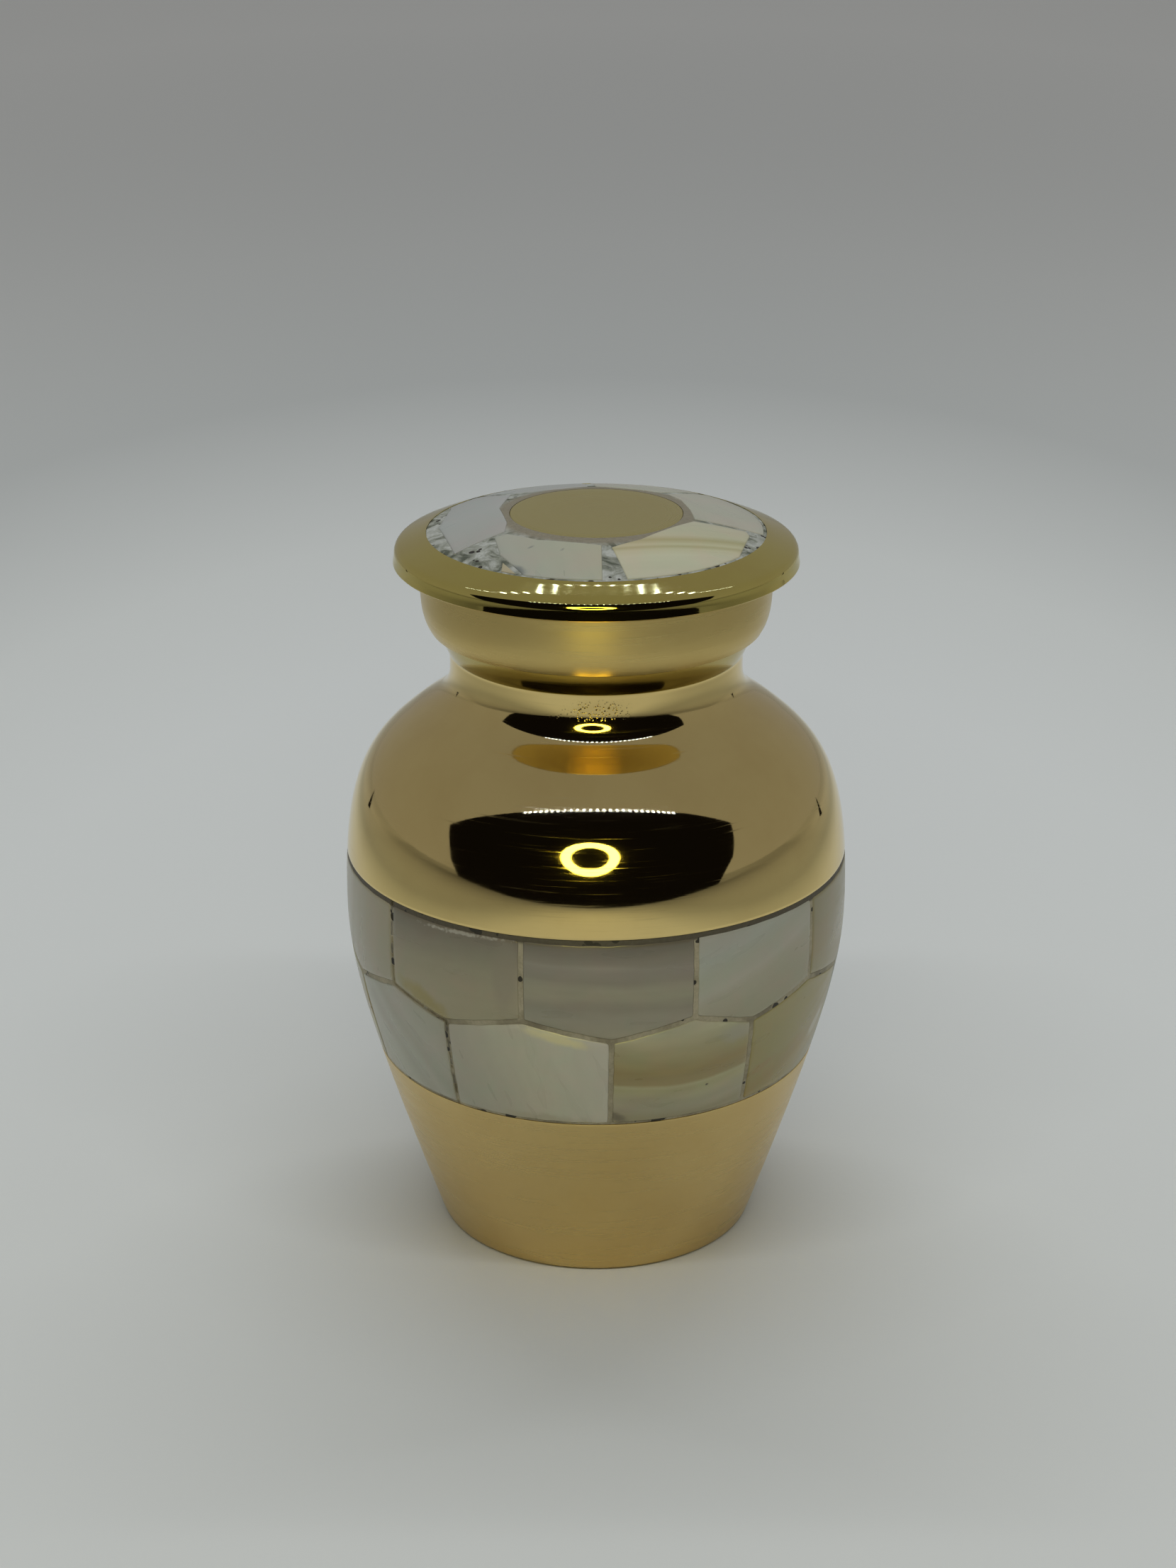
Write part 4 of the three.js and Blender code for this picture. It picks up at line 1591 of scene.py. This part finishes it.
    def lamp_bar(self, name: str, y: float, strength: float, power: float) -> None:
        """A straight row of small lamps high up across the tent.

        Args:
            name: The row's name.
            y: Where it crosses, in metres.
            strength: How bright each lamp looks in the brass.
            power: Light that the whole row gives, in watts.
        """
        vertices, faces = [], []
        for index in range(self.lamps):
            place = Vector(((index - (self.lamps - 1) / 2) * self.lamp_spacing + self.lamp_aside, y,
                            self.lamp_height))
            facing = (Vector((0, 0, 0.06)) - place).to_track_quat("Z", "Y").to_matrix()
            first = len(vertices)
            for a in np.linspace(0, 2 * math.pi, 12, endpoint=False):
                spot = place + facing @ Vector((self.lamp_width * math.cos(a), self.lamp_drop * math.sin(a),
                                                0.0))
                vertices.append(tuple(spot / MM))
            faces.append(list(range(first, first + 12)))
        row = new_object(name, np.array(vertices), faces)
        row.data.materials.append(self.emission(name + "_glow", (0.8, 1.0, 1.9, 1.0), strength))
        self.hide_from_camera(row, mirrors_only=True)
        light = self.hang_light(name + "_light", "AREA", Vector((self.lamp_aside, y, self.lamp_height)),
                                Vector((0.0, -y * 0.6, -self.lamp_height)))
        light.shape = "RECTANGLE"
        light.size, light.size_y = self.lamps * self.lamp_spacing, 0.02
        light.energy = power
        light.color = (1.0, 1.0, 0.99)

    def dark_front(self) -> None:
        """The tent's open front, which the polished brass mirrors as a dark window."""
        corners, faces = list(OPENING_CORNERS), list(OPENING_FACES)
        half, low, high = GAP_SIZE
        # The gaps show in the brass as small dark wedges
        for x, y in CORNER_GAPS:
            first = len(corners)
            corners += [(x - half, y, low), (x + half, y, low), (x, y, high)]
            faces.append((first, first + 1, first + 2))
        made = new_object("open_front", np.array(corners, float), faces)
        made.data.materials.append(self.emission("open_front_dark", (1.0, 0.85, 0.75, 1.0), 0.004))
        self.hide_from_camera(made)

    def ring_lamp(self) -> None:
        """A ring-shaped lamp round the camera."""
        centre = Vector(self.ring_place)
        way = Vector(self.ring_aim) - centre
        facing = way.to_track_quat("Z", "Y").to_matrix()
        vertices, faces, count = [], [], 64
        for k in range(count):
            a = 2 * math.pi * k / count
            for radius in (self.ring_inner, self.ring_outer):
                spot = centre + facing @ Vector((radius * math.cos(a), radius * math.sin(a), 0.0))
                vertices.append(tuple(spot / MM))
            after = (k + 1) % count
            faces.append([2 * k, 2 * k + 1, 2 * after + 1, 2 * after])
        made = new_object("ring_lamp", np.array(vertices), faces)
        made.data.materials.append(self.emission("ring_lamp_glow", (1.0, 0.9, 0.155, 1.0), 11.5))
        self.hide_from_camera(made, mirrors_only=True)
        light = self.hang_light("ring_lamp_light", "AREA", centre, way)
        light.shape, light.size = "DISK", 2 * self.ring_outer
        light.energy, light.color = 0.115, (1.0, 0.92, 0.62)

    def front_pool(self) -> None:
        """Light that the lamps round the camera drop on the floor before the urn."""
        light = self.hang_light("front_pool", "SPOT", Vector((0.0, -0.24, 0.45)))
        light.energy, light.spot_size, light.spot_blend = 1.0, math.radians(24.0), 1.0
        light.shadow_soft_size = 0.02

    def tent(self) -> None:
        """The tent's even white walls, as a world that is a little lighter to the eye than to the urn."""
        world = bpy.data.worlds.new("soft_tent")
        bpy.context.scene.world = world
        world.use_nodes = True
        tree = world.node_tree
        tree.nodes.clear()
        direction = add_node(tree, "TexCoord").outputs["Generated"]
        up = add_node(tree, "SeparateXYZ", {"Vector": direction}).outputs["Z"]
        tone = fill_ramp(add_node(tree, "ValToRGB", {"Fac": add_node(tree, "MapRange", {
            "Value": up, "From Min": -1.0, "From Max": 1.0}).outputs["Result"]}),
                         TENT_STOPS).outputs["Color"]
        walls = add_node(tree, "Background", {"Color": tone, "Strength": 1.0}).outputs["Background"]
        seen = add_node(tree, "Background",
                        {"Color": linear("#939492"), "Strength": 1.0}).outputs["Background"]
        eye = add_node(tree, "LightPath").outputs["Is Camera Ray"]
        both = add_node(tree, "MixShader", {0: eye, 1: walls, 2: seen}).outputs["Shader"]
        add_node(tree, "OutputWorld", {"Surface": both})

    def camera(self) -> None:
        """The camera, with the photograph's place and lens."""
        data = bpy.data.cameras.new("camera")
        data.lens = self.lens
        data.sensor_width = 36.0
        holder = bpy.data.objects.new("camera", data)
        holder.location = self.camera_place
        holder.rotation_euler = (math.radians(90 - self.camera_pitch), 0.0, 0.0)
        bpy.context.scene.collection.objects.link(holder)
        bpy.context.scene.camera = holder

    def build(self) -> None:
        """Sets up the whole studio."""
        view = bpy.context.scene.view_settings
        view.view_transform = "Standard"
        view.look = "None"
        self.floor()
        self.tent()
        self.dark_front()
        self.lamp_bar("front_lamp_row", -self.lamp_reach, 20.0, 0.5)
        self.lamp_bar("back_lamp_row", self.lamp_reach, 14.0, 0.45)
        self.ring_lamp()
        self.front_pool()
        self.camera()


# Brass buffed on a wheel: a sharp warm mirror with fine hairlines, and casting pits at the neck's root
POLISHED_BRASS = BrassFinish("yellow_brass_mirror_polished", roughness=0.04, haze=0.025, peel_mm=0.0003,
                             pit_zone_mm=(58.7, 61.1))
# Brass rubbed with fine abrasive as it turned: a soft glow drawn out across the rings
SATIN_BRASS = BrassFinish("yellow_brass_satin_rubbed", colour="#dac083", roughness=0.3,
                          roughness_spread=0.06,
                          anisotropy=0.6, ring_spacing_mm=0.16, ring_depth_mm=0.001, tarnish_share=0.3)
# The same on the collar, with finer rings: a bright column down its middle
COLLAR_BRASS = BrassFinish("yellow_brass_collar_satin", colour="#d4bc79", roughness=0.3,
                           roughness_spread=0.05,
                           anisotropy=0.75, ring_spacing_mm=0.1, ring_depth_mm=0.001, tarnish_share=0.2)
# The lid's bevel, buffed: a mirror of a slightly greener yellow
LID_BRASS = BrassFinish("yellow_brass_lid_polished", colour="#dbca73")
# The disc, faced flat on the lathe: an even pale sheen with rings about its middle
DISC_BRASS = BrassFinish("yellow_brass_disc_satin", colour="#dfd085", roughness=0.3, roughness_spread=0.04,
                         ring_depth_mm=0.0006, tarnish_share=0.1, faced=True)
# The groove below the collar, where the wheel hardly reaches: a softer, browner mirror
GROOVE_BRASS = BrassFinish("yellow_brass_groove_browned", colour="#bcab66", roughness=0.1,
                           roughness_spread=0.04,
                           tarnish="#9c8040", tarnish_share=0.4)
# The flange's underside, left as turned: an even gold that the hollow of the neck mirrors
UNDERSIDE_BRASS = BrassFinish("yellow_brass_underside_turned", colour="#d6c07c", metallic=0.95,
                              roughness=0.4, roughness_spread=0.05, anisotropy=0.6,
                              ring_depth_mm=0.0006, tarnish_share=0.1, faced=True)

# Resin ground flush: dull khaki joints, with painted shade along the upper edge under the brass lip
RESIN = ResinFinish("polyester_resin_ground", lip_shade_above_mm=39.85)
# The lid's resin with crushed shell stirred in: marbled dark and pale, plain close to the disc
LID_RESIN = ResinFinish("polyester_resin_marbled", colour="#8f9387", dark="#565c4e", pale="#b6bab4",
                        marbled=True,
                        plain_within_mm=9.4)

# Shell sawn along its layers: plain warm beige
PLAIN_BEIGE = NacreFinish("nacre_beige", ((0.0, "#bdb596"), (0.5, "#c0b89a"), (1.0, "#c2bb9f")), lean=80,
                          seed=1.0)
# The shell's yellower edge: plain yellow-beige
END_BEIGE = NacreFinish("nacre_beige_end", ((0.0, "#b3a777"), (0.5, "#aea172"), (1.0, "#a89e74")), seed=1.5)
# Shell that dips into a yellow layer: beige turning grey, with a yellow lower corner
GREY_YELLOW_CORNER = NacreFinish(
    "nacre_grey_yellow_corner",
    ((0.0, "#beb691"), (0.35, "#bcb391"), (0.6, "#b3ab8c"), (0.85, "#9c947c"), (1.0, "#8a826c")),
    lean=3, span_mm=10, waviness=0.1,
    stains_and_highlights=(StainAndHighlight(-3.4, -3.6, 4.2, 1.5, -24, "#b5a767"),
            StainAndHighlight(1.8, 4.75, 5.6, 0.26, 2, "#d6d2c0", 0.8, 1.2),
            StainAndHighlight(6.2, 1.0, 1.6, 6.0, 0, "#a9a086", 0.5)), seed=2.0)
# Shell sawn across its layers: level bands of beige and grey-mauve, darker towards the top
LAVENDER = NacreFinish(
    "nacre_lavender_banded",
    ((0.0, "#bcb597"), (0.2, "#b7b198"), (0.33, "#aaa38b"), (0.46, "#b8b194"), (0.53, "#b9b296"),
     (0.62, "#a8a08a"),
     (0.72, "#aba28f"), (0.76, "#b0a793"), (0.8, "#a49b87"), (0.93, "#8f8772"), (1.0, "#857c66")),
    lean=-2, span_mm=10, waviness=0.05, line_share=0.09, seed=3.0)
# Silvery shell with a faint smoky slant
WHITE_SMOKE = NacreFinish(
    "nacre_white_smoke",
    ((0.0, "#bab391"), (0.3, "#c1bb9d"), (0.48, "#c7c4a9"), (0.56, "#cfccb7"), (0.7, "#c8c8b2"),
                          (0.86, "#cccdbe"), (1.0, "#c8c8b8")), lean=18, span_mm=12, seed=4.0)
# Silvery shell with slanting pale streaks
STREAKED_WHITE = NacreFinish(
    "nacre_white_streaked",
    ((0.0, "#bfbca0"), (0.25, "#c9c9b3"), (0.4, "#bdbba6"), (0.5, "#c8c8b4"), (0.6, "#bebca7"),
                             (0.75, "#c9c8b4"), (1.0, "#c4c1ab")), lean=-42, span_mm=14, waviness=0.2,
                             seed=5.0)
# The brightest shell: cream-white, with a painted yellowish highlight near its upper edge
BRIGHT_WHITE = NacreFinish(
    "nacre_bright_white", ((0.0, "#bfbba6"), (0.3, "#cac7ae"), (0.55, "#d9d5b9"), (1.0, "#dedac4")),
    lean=-74,
    span_mm=17, waviness=0.25, tone=0.88,
    # The first mark is a painted highlight along the upper edge
    stains_and_highlights=(StainAndHighlight(3.4, 4.5, 4.6, 0.85, -13, "#f6edb6", 1.0, 0.3),
            StainAndHighlight(1.0, -5.3, 6.0, 0.8, 0, "#c6be9f", 0.8)), seed=6.0)
# Shell through a yellow layer: bowed bands of olive, gold and cream, with a bruised lower corner
OLIVE_GOLD = NacreFinish(
    "nacre_olive_gold",
    ((0.0, "#b8ae88"), (0.09, "#c4bd9c"), (0.2, "#c8c29b"), (0.3, "#cac491"), (0.335, "#d2cb9b"),
                         (0.365, "#bba873"), (0.5, "#b7a366"), (0.62, "#c0b37d"), (0.74, "#c8c08f"),
     (0.9, "#d5d2a8"),
                         (1.0, "#cdc9a6")), bow=-0.13, lean=1, span_mm=11, waviness=0.05, line_share=0.1,
    stains_and_highlights=(StainAndHighlight(2.6, -2.3, 0.28, 0.18, 20, "#5d5540"), StainAndHighlight(-7.2, -5.0, 1.3, 0.8, -20, "#8d8467"),
            StainAndHighlight(5.6, 3.4, 2.6, 1.6, 0, "#c1bda6", 0.7)), seed=7.0)
# Shell from the yellow lip: slanting old-gold bands
YELLOW_GOLD = NacreFinish(
    "nacre_yellow_gold",
    ((0.0, "#ab9f69"), (0.22, "#b5a35c"), (0.36, "#ae984d"), (0.5, "#b1a461"), (0.7, "#b6aa69"),
                          (1.0, "#bdb278")), lean=22, span_mm=14, waviness=0.1,
    stains_and_highlights=(StainAndHighlight(-6.0, -2.4, 3.2, 0.7, 18, "#b39a58", 0.8),
            StainAndHighlight(4.8, -1.2, 2.6, 1.5, 30, "#d6d0b6", 0.8)), seed=8.0)
# Cool bluish white, nearly even
BLUE_WHITE = NacreFinish(
    "nacre_blue_white", ((0.0, "#b6b8b1"), (0.5, "#b8bcb8"), (1.0, "#b3b7b3")), lean=40, span_mm=14,
    line_share=0.03, tone=0.87, seed=9.0)
# Greenish white with a grey bruise and two specks
BRUISED_WHITE = NacreFinish(
    "nacre_bruised_white", ((0.0, "#b3b7ae"), (0.4, "#bbbdab"), (1.0, "#c1c1a6")), lean=-76, span_mm=14,
    stains_and_highlights=(StainAndHighlight(-3.4, -2.3, 2.4, 0.9, -34, "#7c8380", 0.9),
            StainAndHighlight(-1.6, 1.4, 0.5, 0.2, 40, "#8f918c", 0.8),
            StainAndHighlight(1.4, 0.4, 0.4, 0.18, 60, "#989a90", 0.8)), line_share=0.03, tone=0.87, seed=10.0)
# White with two slanting straw-yellow streaks
YELLOW_STREAKED = NacreFinish(
    "nacre_yellow_streaked",
    ((0.0, "#c9c9ae"), (0.36, "#d1d0b3"), (0.45, "#cfcba8"), (0.5, "#b9b388"), (0.54, "#cbc7a2"),
                              (0.62, "#b7b081"), (0.7, "#c9c6a6"), (1.0, "#c6c5ab")), lean=15, span_mm=12,
                              waviness=0.04,
    line_share=0.04, tone=0.92, seed=11.0)
# Plain silvery white
SILVER_WHITE = NacreFinish(
    "nacre_silver_white", ((0.0, "#bcbcaa"), (0.5, "#c3c3b0"), (1.0, "#b8b9a8")), lean=120, span_mm=14,
    line_share=0.03, tone=0.87, seed=12.0)
# A broken chip: plain cream
CHIP_CREAM = NacreFinish("nacre_chip_cream", ((0.0, "#c2b795"), (1.0, "#b9ae90")), tone=0.9, seed=13.0)

# The finishes of each row, and which of them each tile has, by its number
UPPER_ROW = (PLAIN_BEIGE, GREY_YELLOW_CORNER, LAVENDER, WHITE_SMOKE, END_BEIGE)
LOWER_ROW = (BRIGHT_WHITE, OLIVE_GOLD, YELLOW_GOLD, WHITE_SMOKE, STREAKED_WHITE)
LID_RING = (BLUE_WHITE, BRUISED_WHITE, YELLOW_STREAKED, SILVER_WHITE, SILVER_WHITE, BLUE_WHITE)
UPPER_ORDER = (1, 2, 3, 4, 0, 0, 3, 1, 2, 0)
LOWER_ORDER = (0, 1, 2, 3, 4, 0, 3, 2, 1, 4)

UPPER_SLOTS = ("nacre_cream", "nacre_grey", "nacre_grey", "nacre_grey", "nacre_cream")
LOWER_SLOTS = ("nacre_white", "nacre_gold", "nacre_gold", "nacre_white", "nacre_white")
TILE_SLOTS = {f"upper_tile_{k + 1}": UPPER_SLOTS[k % 5] for k in range(10)}
TILE_SLOTS |= {f"lower_tile_{k + 1}": LOWER_SLOTS[k % 5] for k in range(10)}
TILE_SLOTS |= {f"lid_tile_{k + 1}": "nacre_white" for k in range(6)}
TILE_SLOTS |= {"lid_tile_3": "nacre_cream", "lid_chip": "nacre_cream"}


def tile_finishes() -> dict[str, NacreFinish]:
    """Chooses each tile's mother-of-pearl.

    Returns:
        Finishes by CAD node name.
    """
    chosen = {f"upper_tile_{k + 1}": UPPER_ROW[UPPER_ORDER[k]] for k in range(10)}
    chosen |= {f"lower_tile_{k + 1}": LOWER_ROW[LOWER_ORDER[k]] for k in range(10)}
    chosen |= {f"lid_tile_{k + 1}": LID_RING[k] for k in range(6)}
    chosen["lid_chip"] = CHIP_CREAM
    return chosen


def main() -> None:
    """Builds the urn, then the studio round it."""
    logging.basicConfig(level=logging.INFO, format="%(message)s")
    side, dome, finishes = VesselSide(), LidDome(), tile_finishes()
    pieces = [
        BrassVessel(side, POLISHED_BRASS, SATIN_BRASS, COLLAR_BRASS, GROOVE_BRASS).build(),
        BrassLid(dome, LID_BRASS, DISC_BRASS, UNDERSIDE_BRASS).build(),
    ]
    pieces += ShoulderInlay(side, finishes, RESIN).build()
    pieces += LidInlay(dome, finishes, LID_RESIN).build()
    for piece in pieces:
        log.info("%s: %d faces", piece.name, len(piece.data.polygons))
    Studio().build()


if __name__ == "__main__":
    main()
